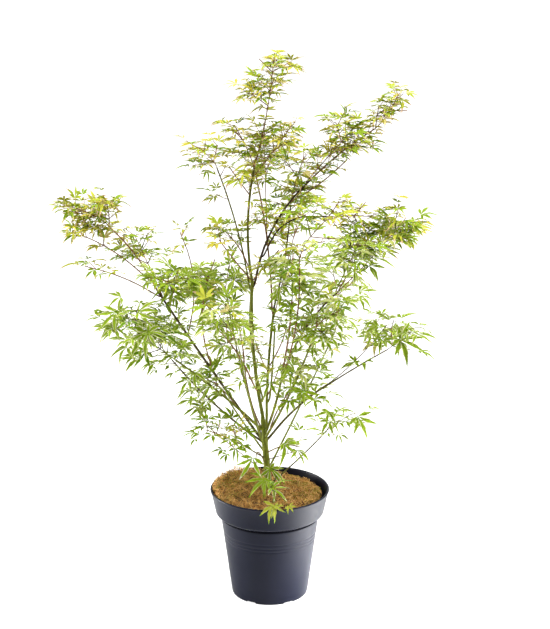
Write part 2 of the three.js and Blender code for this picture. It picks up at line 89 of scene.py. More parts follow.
# %% The camera
CAMERA = {"place": (0.0084, -2.6068, 1.2235), "down": 16.23, "lens": 100.2}


def make_camera():
    data = bpy.data.cameras.new("front_camera")
    data.lens = CAMERA["lens"]
    data.sensor_width = 36
    camera = bpy.data.objects.new("front_camera", data)
    camera.location = CAMERA["place"]
    camera.rotation_euler = (math.radians(90 - CAMERA["down"]), 0, 0)
    bpy.context.scene.collection.objects.link(camera)
    bpy.context.scene.camera = camera


make_camera()
print("camera with a", CAMERA["lens"], "mm lens")

# %% [markdown]
# Looks are made with shader nodes, and small helpers keep their wiring short: one adds a node, one
# links outputs to inputs, one starts a material. Effects that more than one material uses are node
# groups, made once. Each group has named inputs and puts out only a mask or a value, and the material
# that uses it decides what that means.

# %% Helpers for nodes
def add_node(tree, kind, values=None, **settings):
    """A new node with these settings, and these values at its inputs."""
    node = tree.nodes.new(kind)
    for key, value in settings.items():
        setattr(node, key, value)
    for socket, value in (values or {}).items():
        node.inputs[socket].default_value = value
    return node


def wire(tree, *rows):
    """A link for each row of node, output, node, input."""
    for source, output, target, socket in rows:
        tree.links.new(source.outputs[output], target.inputs[socket])


def start_group(name, inputs, output):
    group = bpy.data.node_groups.new(name, "ShaderNodeTree")
    for socket, value in inputs.items():
        made = group.interface.new_socket(socket, in_out="INPUT", socket_type="NodeSocketFloat")
        made.default_value = value
    group.interface.new_socket(output, in_out="OUTPUT", socket_type="NodeSocketFloat")
    return group, add_node(group, "NodeGroupInput"), add_node(group, "NodeGroupOutput")


# %% Helpers for materials
def start_material(name, colour, roughness, **sockets):
    material = bpy.data.materials.new(name)
    material.use_nodes = True
    shader = material.node_tree.nodes["Principled BSDF"]
    shader.inputs["Base Color"].default_value = (*colour, 1)
    shader.inputs["Roughness"].default_value = roughness
    for socket, value in sockets.items():
        shader.inputs[socket.replace("_", " ")].default_value = value
    return material, shader


def use_group(material, group, **values):
    """The mask or value that a group puts out for these inputs."""
    return add_node(material.node_tree, "ShaderNodeGroup", values, node_tree=group).outputs[0]


def mix_colours(material, mask, first, second):
    """A colour between the two by the mask, ready to be linked on."""
    colours = {"A": (*first, 1), "B": (*second, 1)}
    mix = add_node(material.node_tree, "ShaderNodeMix", colours, data_type="RGBA")
    material.node_tree.links.new(mask, mix.inputs["Factor"])
    return mix.outputs["Result"]


def add_bump(material, shader, height, strength, distance):
    sizes = {"Strength": strength, "Distance": distance}
    bump = add_node(material.node_tree, "ShaderNodeBump", sizes)
    material.node_tree.links.new(height, bump.inputs["Height"])
    wire(material.node_tree, (bump, "Normal", shader, "Normal"))


# %% [markdown]
# The plant stood in a bright white studio that is darker on the camera's side, which is why the front
# of the pot is almost black and its edges are pale. The sky here is bright behind the plant, above it
# and to the sides, and dim in front. The floor is a mid grey paper that glows white for the camera
# alone, so that it doesn't light up the pot from below. The wall of a pot mirrors the floor beside it,
# so two small strips light the floor left and right: the strong right one makes the broad sheen.

# %% The floor
FLOOR_GLOW = 0.85


def make_floor():
    bpy.ops.mesh.primitive_plane_add(size=60, location=(0, 0, -0.0004))
    floor = bpy.context.object
    floor.name = "studio_floor"
    material, shader = start_material(
        "studio_paper", (0.5, 0.5, 0.5), 0.9, Specular_IOR_Level=0.1, Emission_Color=(1, 1, 1, 1)
    )
    tree = material.node_tree
    ray = add_node(tree, "ShaderNodeLightPath")
    glow = add_node(tree, "ShaderNodeMath", {1: FLOOR_GLOW}, operation="MULTIPLY")
    wire(tree, (ray, "Is Camera Ray", glow, 0), (glow, "Value", shader, "Emission Strength"))
    floor.data.materials.append(material)


make_floor()

# %% The lamps and the sky
LAMPS = {
    "key_lamp": {"place": (2.5, -0.8, 2.1), "size": 1.4, "watts": 60, "aim": (0, 0, 0.4)},
    "fill_lamp": {"place": (-2.2, -0.6, 1.7), "size": 1.2, "watts": 22, "aim": (0, 0, 0.4)},
    "top_lamp": {"place": (0.1, 0.1, 4.4), "size": 3.0, "watts": 190, "aim": (0, 0, 0.4)},
    "right_strip": {"place": (0.37, -0.09, 0.15), "size": 0.3, "watts": 12.5, "aim": (0.37, -0.089, 0)},
    "left_strip": {"place": (-0.7, 0.1, 0.2), "size": 0.3, "watts": 8, "aim": (-0.2, 0, 0)},
}
# The sky's strength rises from 0.13 in front of the plant to 0.9 behind it
SKY = {"From Min": -0.9, "From Max": 0.2, "To Min": 0.13, "To Max": 0.9}


def make_lamp(name, place, size, watts, aim):
    data = bpy.data.lights.new(name, "AREA")
    data.size = size
    data.energy = watts
    lamp = bpy.data.objects.new(name, data)
    lamp.location = place
    lamp.visible_camera = False
    lamp.rotation_euler = (Vector(aim) - Vector(place)).to_track_quat("-Z", "Y").to_euler()
    bpy.context.scene.collection.objects.link(lamp)


def make_sky():
    world = bpy.data.worlds.new("white_studio")
    world.use_nodes = True
    tree = world.node_tree
    background = tree.nodes["Background"]
    background.inputs["Color"].default_value = (1, 1, 1, 1)
    direction = add_node(tree, "ShaderNodeTexCoord")
    parts = add_node(tree, "ShaderNodeSeparateXYZ")
    depth = add_node(tree, "ShaderNodeMapRange", SKY, interpolation_type="SMOOTHSTEP")
    wire(
        tree, (direction, "Generated", parts, "Vector"), (parts, "Y", depth, "Value"),
        (depth, "Result", background, "Strength"),
    )
    bpy.context.scene.world = world
    bpy.context.scene.view_settings.view_transform = "Standard"


make_sky()
for lamp_name, lamp_facts in LAMPS.items():
    make_lamp(lamp_name, **lamp_facts)
print(len(LAMPS), "lamps over a pale floor")

# %% [markdown]
# The first group is a fine speckle: noise of a given size, pulled out along Z or not, and sharpened
# by a contrast. Moulded plastic, soil, fibre and bark all use it with sizes of their own.

# %% The speckle group
def make_speckle_group():
    group, given, out = start_group("speckle", {"Scale": 100, "Stretch": 1, "Contrast": 1}, "Mask")
    place = add_node(group, "ShaderNodeTexCoord")
    stretch = add_node(group, "ShaderNodeCombineXYZ", {"X": 1, "Y": 1})
    scaled = add_node(group, "ShaderNodeVectorMath", operation="MULTIPLY")
    pattern = add_node(group, "ShaderNodeTexNoise", {"Detail": 4})
    centred = add_node(group, "ShaderNodeMath", {1: 0.5}, operation="SUBTRACT")
    sharper = add_node(group, "ShaderNodeMath", operation="MULTIPLY")
    back = add_node(group, "ShaderNodeMath", {1: 0.5}, operation="ADD", use_clamp=True)
    wire(
        group, (given, "Stretch", stretch, "Z"), (place, "Object", scaled, 0), (stretch, "Vector", scaled, 1),
        (scaled, "Vector", pattern, "Vector"), (given, "Scale", pattern, "Scale"),
        (pattern, "Fac", centred, 0), (centred, "Value", sharper, 0), (given, "Contrast", sharper, 1),
        (sharper, "Value", back, 0), (back, "Value", out, "Mask"),
    )
    return group


speckle = make_speckle_group()


def mottle(material, shader, scale, contrast, first, second):
    """Colours a surface between two shades by a speckle, and gives the speckle back for bumps."""
    spots = use_group(material, speckle, Scale=scale, Contrast=contrast)
    colour = mix_colours(material, spots, first, second)
    material.node_tree.links.new(colour, shader.inputs["Base Color"])
    return spots


print("node group", speckle.name, "with", len(speckle.nodes), "nodes")

# %% [markdown]
# Young bark is smooth and green where it is thick and sunless, and turns reddish brown towards the
# tips. The second group gives the share of red by height, broken up by noise so that no line shows.

# %% The bark group
def make_reddening_group():
    group, given, out = start_group("reddening", {"Start": 0.45, "End": 0.75, "Patches": 60}, "Share")
    place = add_node(group, "ShaderNodeTexCoord")
    parts = add_node(group, "ShaderNodeSeparateXYZ")
    patches = add_node(group, "ShaderNodeTexNoise")
    wobble = add_node(group, "ShaderNodeMath", {1: 0.3}, operation="MULTIPLY_ADD")
    height = add_node(group, "ShaderNodeMapRange", interpolation_type="SMOOTHSTEP")
    wire(
        group, (place, "Object", parts, "Vector"), (place, "Object", patches, "Vector"),
        (given, "Patches", patches, "Scale"), (patches, "Fac", wobble, 0), (parts, "Z", wobble, 2),
        (wobble, "Value", height, "Value"), (given, "Start", height, "From Min"),
        (given, "End", height, "From Max"), (height, "Result", out, "Share"),
    )
    return group


reddening = make_reddening_group()
print("node group", reddening.name, "with", len(reddening.nodes), "nodes")

# %% [markdown]
# The pot is injection-moulded plastic in a blue-tinged anthracite. It is satin, so the lamps show
# as soft broad sheens, and a very fine grain keeps it from looking like glass. The sheen input makes
# the edges a little paler than the front, as dust does. The groove under the band gets a matt plastic
# that is painted near-black: painted shade, for the shadow that the band's overhang casts there.

# %% The plastic of the pot
def make_pot_plastic():
    material, shader = start_material(
        "anthracite_plastic", (0.0036, 0.0052, 0.016), 0.36, Specular_IOR_Level=0.2,
        Sheen_Weight=0.06, Sheen_Roughness=0.4, Sheen_Tint=(0.86, 0.88, 1, 1),
    )
    mottle(material, shader, 38, 1.6, (0.0028, 0.0042, 0.0145), (0.0046, 0.0062, 0.018))
    grain = use_group(material, speckle, Scale=1400, Contrast=1)
    add_bump(material, shader, grain, 0.12, 0.0002)
    return material


# Painted shade: a near-black matt plastic for the groove, standing in for the band's shadow there.
def make_groove_shade_plastic():
    groove_shade_colour = (0.002, 0.0022, 0.0045)
    material, shader = start_material("groove_shade_plastic", groove_shade_colour, 0.85, Specular_IOR_Level=0.05)
    mottle(material, shader, 60, 1.6, (0.0022, 0.0024, 0.005), (0.0042, 0.0046, 0.008))
    return material


pot_plastic = make_pot_plastic()
groove_shade_plastic = make_groove_shade_plastic()
print("made", pot_plastic.name, groove_shade_plastic.name)

# %% [markdown]
# Potting mix is dark and crumbly. It shows only in the narrow gap between the mat and the wall.
# Coir is a heap of stiff golden-brown hairs: the mat below them is a darker felt, and the loose
# hairs have four plain shades that are dealt out strand by strand, the olive one mainly in patches.

# %% Potting mix and coir
def make_potting_mix():
    material, shader = start_material("potting_mix", (0.02, 0.014, 0.01), 0.95)
    crumbs = mottle(material, shader, 420, 3, (0.01, 0.007, 0.005), (0.06, 0.04, 0.025))
    add_bump(material, shader, crumbs, 0.9, 0.002)
    return material


def make_coir_felt():
    material, shader = start_material("coir_felt", (0.3, 0.17, 0.06), 0.95, Specular_IOR_Level=0.15)
    tufts = mottle(material, shader, 260, 3.2, (0.035, 0.016, 0.006), (0.32, 0.15, 0.045))
    add_bump(material, shader, tufts, 1.0, 0.003)
    return material


def make_coir_hair(name, colour):
    material, shader = start_material(name, colour, 0.75, Specular_IOR_Level=0.25)
    mottle(material, shader, 900, 2, tuple(0.75 * c for c in colour), colour)
    return material


potting_mix = make_potting_mix()
coir_felt = make_coir_felt()
COIR_SHADES = {
    "coir_gold": (0.96, 0.58, 0.2), "coir_tan": (0.68, 0.35, 0.1), "coir_brown": (0.1, 0.045, 0.018),
    "coir_olive": (0.46, 0.37, 0.06),
}
coir_hairs = [make_coir_hair(name, colour) for name, colour in COIR_SHADES.items()]
print("made", potting_mix.name, coir_felt.name, *COIR_SHADES)

# %% [markdown]
# Three barks cover the wood: olive green on the trunk and thick stems, olive brown where stems
# ripen, and reddish brown on the young growth. All three use the same streaks and fine bumps.

# %% The barks
BARKS = {
    "bark_olive": {"green": (0.2, 0.23, 0.02), "red": (0.14, 0.1, 0.03), "start": 0.6, "end": 1},
    "bark_brown": {"green": (0.11, 0.1, 0.02), "red": (0.08, 0.045, 0.022), "start": 0.35, "end": 0.75},
    "bark_red": {"green": (0.2, 0.18, 0.04), "red": (0.3, 0.15, 0.07), "start": 0.25, "end": 0.6},
}


def make_bark(name, green, red, start, end):
    material, shader = start_material(name, green, 0.6, Specular_IOR_Level=0.2)
    share = use_group(material, reddening, Start=start, End=end, Patches=45)
    streaks = use_group(material, speckle, Scale=700, Stretch=0.12, Contrast=2.4)
    tree = material.node_tree
    dark = {"B": (0.6, 0.55, 0.5, 1)}
    shade = add_node(tree, "ShaderNodeMix", dark, data_type="RGBA", blend_type="MULTIPLY")
    tree.links.new(streaks, shade.inputs["Factor"])
    tree.links.new(mix_colours(material, share, green, red), shade.inputs["A"])
    wire(tree, (shade, "Result", shader, "Base Color"))
    add_bump(material, shader, streaks, 0.5, 0.0005)
    return material


barks = {name: make_bark(name, **facts) for name, facts in BARKS.items()}
OLIVE_BARK, BROWN_BARK, RED_BARK = range(len(barks))
print("made", *barks)

# %% [markdown]
# The leaves are green in the middle with a pale margin, and the young ones are yellow-green with
# gold or rosy tips. Such colours have a place on the plant, so each is a plain base colour, dealt
# out leaf by leaf, with only a faint mottle of its own on top.

# %% The leaf colours
LEAF_COLOURS = {
    "leaf_deep": (0.11, 0.23, 0.006),
    "leaf_mid": (0.25, 0.37, 0.014),
    "leaf_fresh": (0.42, 0.5, 0.03),
    "leaf_lime": (0.46, 0.48, 0.04),
    "leaf_olive": (0.54, 0.48, 0.045),
    "leaf_bright": (0.3, 0.45, 0.015),
    "leaf_gold": (0.66, 0.56, 0.2),
    "leaf_blush": (0.64, 0.43, 0.24),
    "margin_cream": (0.76, 0.74, 0.42),
    "margin_lime": (0.52, 0.57, 0.15),
}


def make_leaf_colour(name, colour):
    material, shader = start_material(name, colour, 0.62, Specular_IOR_Level=0.12)
    mottle(material, shader, 240, 1.4, tuple(0.86 * c for c in colour), colour)
    return material


leaf_materials = [make_leaf_colour(name, colour) for name, colour in LEAF_COLOURS.items()]
LEAF_SLOT = {name: i for i, name in enumerate(LEAF_COLOURS)}
print(len(leaf_materials), "leaf colours")

# %% [markdown]
# Now the shapes. The pot is a lathe job: one outline swept round the axis. The outline here is the
# moulded one, with its rolled lip, the deep rim band, the step below it, three fine rings and a
# rounded foot, so it is finer than the solid that it stands for. The foot dips in at six notches,
# which is done by lifting the lowest rings there.

# %% Sizes of the pot
POT = {
    "height": 177, "lip": 95, "band_top": 93.6, "band_low": 87, "band_low_height": 145,
    "body_height": 134, "body_top": 78.6, "base": 60.7, "wall": 2, "floor": 4, "under_lip": 4,
    "ledge": 2.9, "sides": 168,
}
BENDS = {"foot": 2.4, "shoulder": 6.5, "lip": 1.6}
RINGS = {"heights": (96, 101.5, 108), "depth": 0.5, "half_width": 1.4}
GROOVE = {"top": 135.2, "low": 131.6, "depth": 0.8}
DRAIN = {"count": 6, "width": 18, "height": 2.2, "inner": 54.7}


def pot_radius(height):
    return lerp(POT["base"], POT["body_top"], height / POT["body_height"])


def ringed_radius(height):
    dips = sum(math.exp(-(((height - ring) / RINGS["half_width"]) ** 2)) for ring in RINGS["heights"])
    return pot_radius(height) - RINGS["depth"] * dips


def arc(centre, radius, start, end, steps):
    """Points on an arc in the outline's own plane, angles in degrees."""
    turns = np.radians(np.linspace(start, end, steps))
    return [(centre[0] + radius * math.cos(a), centre[1] + radius * math.sin(a)) for a in turns]


# %% The pot's outline
def pot_outline():
    foot = arc((POT["base"] - 2.2, BENDS["foot"]), BENDS["foot"], -90, -8, 5)
    heights = np.unique(np.concatenate([np.linspace(5, 92, 12), np.linspace(92, 112, 41), [118, 126, 130.2]]))
    body = [(ringed_radius(z), z) for z in heights]
    sunk = POT["body_top"] - GROOVE["depth"]
    ledge = (POT["body_top"] + POT["ledge"], GROOVE["top"] + 0.2)
    step = [(sunk, GROOVE["low"]), (sunk, GROOVE["top"]), ledge]
    bend = BENDS["shoulder"]
    shoulder = arc((POT["band_low"] - bend, POT["band_low_height"] - 3), bend, -42, -4, 7)
    bend = BENDS["lip"]
    lip = arc((POT["lip"] - bend, POT["height"] - bend), bend, -50, 165, 10)
    under_lip = POT["height"] - POT["under_lip"]
    inside = [
        (POT["band_top"] - POT["wall"] - 0.2, under_lip),
        (POT["band_low"] - POT["wall"], POT["band_low_height"]),
        (POT["body_top"] - POT["wall"], POT["body_height"]),
        (pot_radius(POT["floor"]) - POT["wall"], POT["floor"]),
    ]
    return [(DRAIN["inner"], 0), *foot, *body, *step, *shoulder, (POT["band_top"], under_lip), *lip, *inside]


outline = pot_outline()
print("the pot's outline has", len(outline), "points")


# %% Turning an outline into a mesh
def object_from(name, points, faces, materials, slots=None):
    """A mesh object from points in millimetres."""
    mesh = bpy.data.meshes.new(name)
    mesh.from_pydata((np.asarray(points, float) * MM).tolist(), [], faces)
    for material in materials:
        mesh.materials.append(material)
    if slots is not None:
        mesh.polygons.foreach_set("material_index", np.asarray(slots, np.int32))
    mesh.polygons.foreach_set("use_smooth", np.full(len(mesh.polygons), True))
    mesh.update()
    piece = bpy.data.objects.new(name, mesh)
    bpy.context.scene.collection.objects.link(piece)
    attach(piece, "root")
    return piece


def notch_lift(angle, radius, height):
    """How far the foot is lifted at this angle to leave a drain notch."""
    pitch = 2 * math.pi / DRAIN["count"]
    offset = (angle - math.pi / 2) % pitch - pitch / 2
    inside = abs(offset) * POT["base"] < DRAIN["width"] / 2
    return DRAIN["height"] * inside * (radius > DRAIN["inner"] - 0.1) * max(1 - height / 3, 0)


# %% The pot
def make_pot():
    points = []
    for k in range(POT["sides"]):
        angle = 2 * math.pi * k / POT["sides"]
        for radius, height in outline:
            lifted = height + notch_lift(angle, radius, height)
            points.append((radius * math.cos(angle), radius * math.sin(angle), lifted))
    rows = len(outline)
    faces = []
    for k in range(POT["sides"]):
        here, there = k * rows, (k + 1) % POT["sides"] * rows
        for j in range(rows - 1):
            faces.append((here + j, there + j, there + j + 1, here + j + 1))
    for centre_height, row in ((0, 0), (POT["floor"], rows - 1)):
        middle = len(points)
        points.append((0, 0, centre_height))
        for k in range(POT["sides"]):
            here, there = k * rows + row, (k + 1) % POT["sides"] * rows + row
            faces.append((middle, there, here) if row == 0 else (middle, here, there))
    # The faces in the groove under the band get the painted-shade plastic.
    low, top = GROOVE["low"] - 0.9, GROOVE["top"] + 0.3
    middles = [sum(points[corner][2] for corner in face) / len(face) for face in faces]
    groove_shade_faces = [int(low < middle < top) for middle in middles]
    return object_from("grow_pot", points, faces, [pot_plastic, groove_shade_plastic], slots=groove_shade_faces)


pot = make_pot()
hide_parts("pot")
print("grow_pot has", len(pot.data.polygons), "faces")

# %% [markdown]
# The root ball keeps its solid, as its shape is right: it only gets the look of potting mix. The
# coir mat is remade as a felt with lumps in it. Its top follows the same heap as the solid, high at
# the left and thin at the right where it leaves a dark gap to the wall.

# %% The potting mix and the heap of the mat
root_ball = frame["nodes"]["root_ball"]
root_ball.data.materials.clear()
root_ball.data.materials.append(potting_mix)

SOIL_TOP = 154
COIR = {"radius": 86, "edge": 12, "dome": 5, "left_heap": 9, "right_gap": 7}
FELT = {"lump": 14, "lump_height": 1.9, "tuft": 2.6, "tuft_height": 0.9, "ragged": 0.014, "tuck": 1.6}
PAD_HEIGHT = SOIL_TOP + COIR["edge"] + COIR["dome"]


def coir_radius(angle):
    return COIR["radius"] - COIR["right_gap"] * max(math.cos(angle - 0.6), 0) + math.sin(5 * angle)


def coir_top(x, y):
    share = math.hypot(x, y) / COIR["radius"]
    heap = COIR["left_heap"] * max((0.35 * y - x) / COIR["radius"], 0) ** 1.5
    waves = 0.8 * math.sin(x / 9) * math.cos(y / 11) * min(share * 2, 1)
    return SOIL_TOP + COIR["edge"] + COIR["dome"] * (1 - share**3) + heap + waves


def felt_top(x, y):
    """The mat's top with the lumps that loose fibre has."""
    lumps = noise.fractal(Vector((x / FELT["lump"], y / FELT["lump"], 0)), 0.9, 2.0, 3)
    tufts = noise.noise(Vector((x / FELT["tuft"], y / FELT["tuft"], 4)))
    return coir_top(x, y) + FELT["lump_height"] * lumps + FELT["tuft_height"] * tufts


# %% The felt of the mat
def felt_point(angle, ring, top_rings, side_rings):
    """A point of the felt: its rings spread over the top, and the last few go down the side."""
    ragged = 1 + FELT["ragged"] * noise.noise(Vector((9 * math.cos(angle), 9 * math.sin(angle), 1)))
    radius = coir_radius(angle) * ragged * min(ring / top_rings, 1)
    x, y = radius * math.cos(angle), radius * math.sin(angle)
    drop = max(ring - top_rings, 0) / side_rings
    height = felt_top(x, y) * (1 - drop) + (SOIL_TOP + 0.5) * drop
    return x, y, height - FELT["tuck"] * (ring == top_rings)


def make_coir_felt_piece():
    top_rings, side_rings, sectors = 40, 6, 150
    rings = top_rings + side_rings
    points, faces = [(0, 0, felt_top(0, 0))], []
    for i in range(1, rings + 1):
        for k in range(sectors):
            points.append(felt_point(2 * math.pi * k / sectors, i, top_rings, side_rings))
    for k in range(sectors):
        after = (k + 1) % sectors
        faces.append((0, 1 + k, 1 + after))
        for i in range(rings - 1):
            here, there = 1 + i * sectors, 1 + (i + 1) * sectors
            faces.append((here + k, there + k, there + after, here + after))
    return object_from("coir_felt", points, faces, [coir_felt])


felt = make_coir_felt_piece()
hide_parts("coir_mat")
print("coir_felt has", len(felt.data.polygons), "faces")

# %% [markdown]
# What makes coir look like coir is the loose hair on top. A hair system would be the usual tool, but
# particles are lost on export, so each hair is a thin three-sided tube of its own, bent a little and
# laid at random on the felt. Near the edge more of them stand up. All are joined into one mesh.

# %% Thin tubes for hairs, twigs and stalks
def frames_along(line):
    """At each point of a line, two directions across it that don't twist along the way."""
    line = np.asarray(line, float)
    along = np.gradient(line, axis=0)
    along /= np.linalg.norm(along, axis=1)[:, None]
    first = np.array([1.0, 0, 0]) if abs(along[0][0]) < 0.9 else np.array([0, 1.0, 0])
    across = np.empty_like(line)
    for i, direction in enumerate(along):
        first = first - direction * (first @ direction)
        first /= np.linalg.norm(first)
        across[i] = first
    return across, np.cross(along, across)


def tube_parts(line, radii, sides):
    """Points and faces of a tube round a line, closed to a point at its far end."""
    line = np.asarray(line, float)
    across, third = frames_along(line)
    turns = 2 * math.pi * np.arange(sides) / sides
    rings = (
        across[:, None] * np.cos(turns)[None, :, None] + third[:, None] * np.sin(turns)[None, :, None]
    ) * np.asarray(radii, float)[:, None, None] + line[:, None]
    points = [*rings.reshape(-1, 3), line[-1]]
    faces = []
    for i in range(len(line) - 1):
        for k in range(sides):
            here, after = i * sides + k, i * sides + (k + 1) % sides
            faces.append((here, after, after + sides, here + sides))
    last = (len(line) - 1) * sides
    for k in range(sides):
        faces.append((last + k, last + (k + 1) % sides, len(points) - 1))
    return points, faces


class Joined:
    """Collects many small parts and makes one mesh of them."""

    def __init__(self):
        self.points, self.faces, self.slots = [], [], []

    def add(self, points, faces, slots):
        start = len(self.points)
        self.points.extend(points)
        self.faces.extend([tuple(start + i for i in face) for face in faces])
        self.slots.extend([slots] * len(faces) if isinstance(slots, int) else slots)

    def make(self, name, materials, slot):
        piece = object_from(name, self.points, self.faces, materials, slots=self.slots)
        print(name, "has", len(self.faces), "faces")
        return piece


# %% The loose hair of the mat
HAIR = {"count": 6400, "shortest": 8, "longest": 26, "radius": 0.36, "wall": 91}


def left_share(angle):
    """1 at the left and front, where the mat is pushed against the wall, and 0 at the right back."""
    return min(max(0.9 - 1.4 * math.cos(angle - 0.6), 0), 1)


def olive_patch(x, y):
    return noise.noise(Vector((x / 30, y / 30, 7))) + 0.35 * abs(x) / COIR["radius"] > 0.28


def lay_hair(draw):
    angle = draw.uniform(0, 2 * math.pi)
    share = math.sqrt(draw.uniform(0.01, 1))
    radius = share * lerp(coir_radius(angle) - 1, HAIR["wall"] - 2, left_share(angle))
    x, y = radius * math.cos(angle), radius * math.sin(angle)
    heading = draw.uniform(0, 2 * math.pi)
    length = draw.uniform(HAIR["shortest"], HAIR["longest"])
    bend = draw.uniform(-0.9, 0.9)
    crowded = left_share(angle) * (share > 0.8)
    rise = draw.choice([0.8, 1.8, 3, 5]) * (1 + crowded)
    line = []
    for i in range(4):
        part = i / 3 - 0.5
        turn = heading + bend * part
        px, py = x + length * part * math.cos(turn), y + length * part * math.sin(turn)
        out = math.hypot(px, py)
        around = math.atan2(py, px)
        limit = lerp(coir_radius(around) + 3, HAIR["wall"], left_share(around))
        if out > limit:
            px, py = px * limit / out, py * limit / out
        lift = rise * (0.25 + math.cos(part * 2.6) + draw.uniform(-0.3, 0.3))
        line.append((px, py, felt_top(px, py) + lift - 0.5))
    return line


def make_coir_hair_piece():
    draw = random.Random(41)
    hairs = Joined()
    for _ in range(HAIR["count"] // (1)):
        line = lay_hair(draw)
        thick = HAIR["radius"] * draw.uniform(0.7, 1.4)
        points, faces = tube_parts(line, [thick, thick, thick * 0.8, thick * 0.3], 3)
        shades = (4, 3, 1, 5) if olive_patch(line[0][0], line[0][1]) else (5, 6, 2, 0)
        hairs.add(points, faces, draw.choices((0, 1, 2, 3), shades)[0])
    return hairs.make("coir_hair", coir_hairs, "coir")


make_coir_hair_piece()

# %% [markdown]
# The plant itself grows from the same rule as its solids, written again here: each bough is a row of
# sizes and leaves its parent at a given share of its length, and every mass of foliage grows from a
# seed. The same seed draws the same numbers, so twigs and leaves land where the solids
# have them, and this file can carry them further, to finer twigs and true-sized leaves.

# %% The trunk and the boughs, in millimetres
TRUNK = {
    "foot": (-1, 0), "top": (-11, 0, 296), "radius": 5.1, "top_radius": 4.6, "flare": 4.2, "flare_height": 9,
}

# Name, parent, share of the parent's length, tip, how far the middle bows, foot and tip radius
BOUGHS = [
    ("leader_low", "trunk", 1, (-27, -8, 517), (-6, -1, -1), 2.7, 2.1),
    ("leader_mid", "leader_low", 1, (-23, -4, 698), (-8, 0, 0), 1.9, 1.4),
    ("leader_top", "leader_mid", 1, (-8, 0, 758), (1, 0, 0), 1.3, 1.0),
    ("left_spur", "leader_low", 0.95, (-81, 34, 690), (5, 1, 1), 1.2, 0.8),
    ("long_right_low", "leader_low", 0.975, (65, 44, 670), (-14, 1, 8), 1.7, 1.2),
    ("long_right_high", "long_right_low", 1, (162, 78, 741), (-2, -1, 3), 1.1, 0.8),
    ("right_arch", "long_right_low", 0.35, (87, -28, 627), (-12, 4, 20), 1.2, 0.8),
    ("stem_b_low", "trunk", 0.9, (7, 38, 464), (-3, -1, 0), 2.1, 1.7),
    ("stem_b_high", "stem_b_low", 1, (33, 66, 624), (4, 1, -1), 1.4, 0.9),
    ("stem_b_cross", "stem_b_low", 0.96, (-20, 26, 675), (5, 0, 1), 1.3, 0.9),
    ("stem_c_low", "trunk", 0.88, (21, -34, 388), (3, 1, 0), 2.0, 1.6),
    ("stem_c_high", "stem_c_low", 1, (34, -62, 506), (2, 1, 0), 1.4, 1.0),
    ("right_long", "stem_c_low", 0.94, (109, -40, 517), (-9, 0, 6), 1.4, 1.0),
    ("stem_red", "stem_c_low", 0.84, (44, -128, 582), (9, -7, -4), 1.1, 0.8),
    ("stem_d", "trunk", 0.84, (69, -112, 475), (7, 6, 0), 1.9, 1.2),
    ("low_right", "trunk", 0.82, (90, 14, 345), (-4, -1, 4), 1.9, 1.3),
    ("low_right_out", "low_right", 0.94, (180, -30, 416), (0, 1, 1), 1.1, 0.8),
    ("stem_f", "trunk", 0.6, (105, 122, 398), (0, 7, -6), 1.5, 0.9),
    ("low_back_right", "trunk", 0.28, (91, 104, 233), (5, -6, 5), 1.1, 0.8),
    ("stem_h", "trunk", 0.74, (-77, 62, 320), (-1, -3, 1), 1.6, 1.0),
    ("stem_i", "trunk", 0.8, (-156, 58, 372), (-4, 2, -6), 1.6, 1.0),
    ("stem_j", "trunk", 0.9, (-143, -64, 411), (2, 2, 2), 2.1, 1.2),
    ("stem_k_low", "trunk", 0.82, (-173, 12, 498), (-1, 0, -1), 2.1, 1.5),
    ("stem_k_high", "stem_k_low", 1, (-249, 6, 607), (5, 0, 4), 1.3, 0.8),
    ("stem_l", "trunk", 0.76, (-44, -124, 443), (-3, -3, -3), 1.5, 0.9),
    ("stem_m", "trunk", 0.78, (-71, 128, 469), (-5, 25, -18), 1.5, 0.9),
]

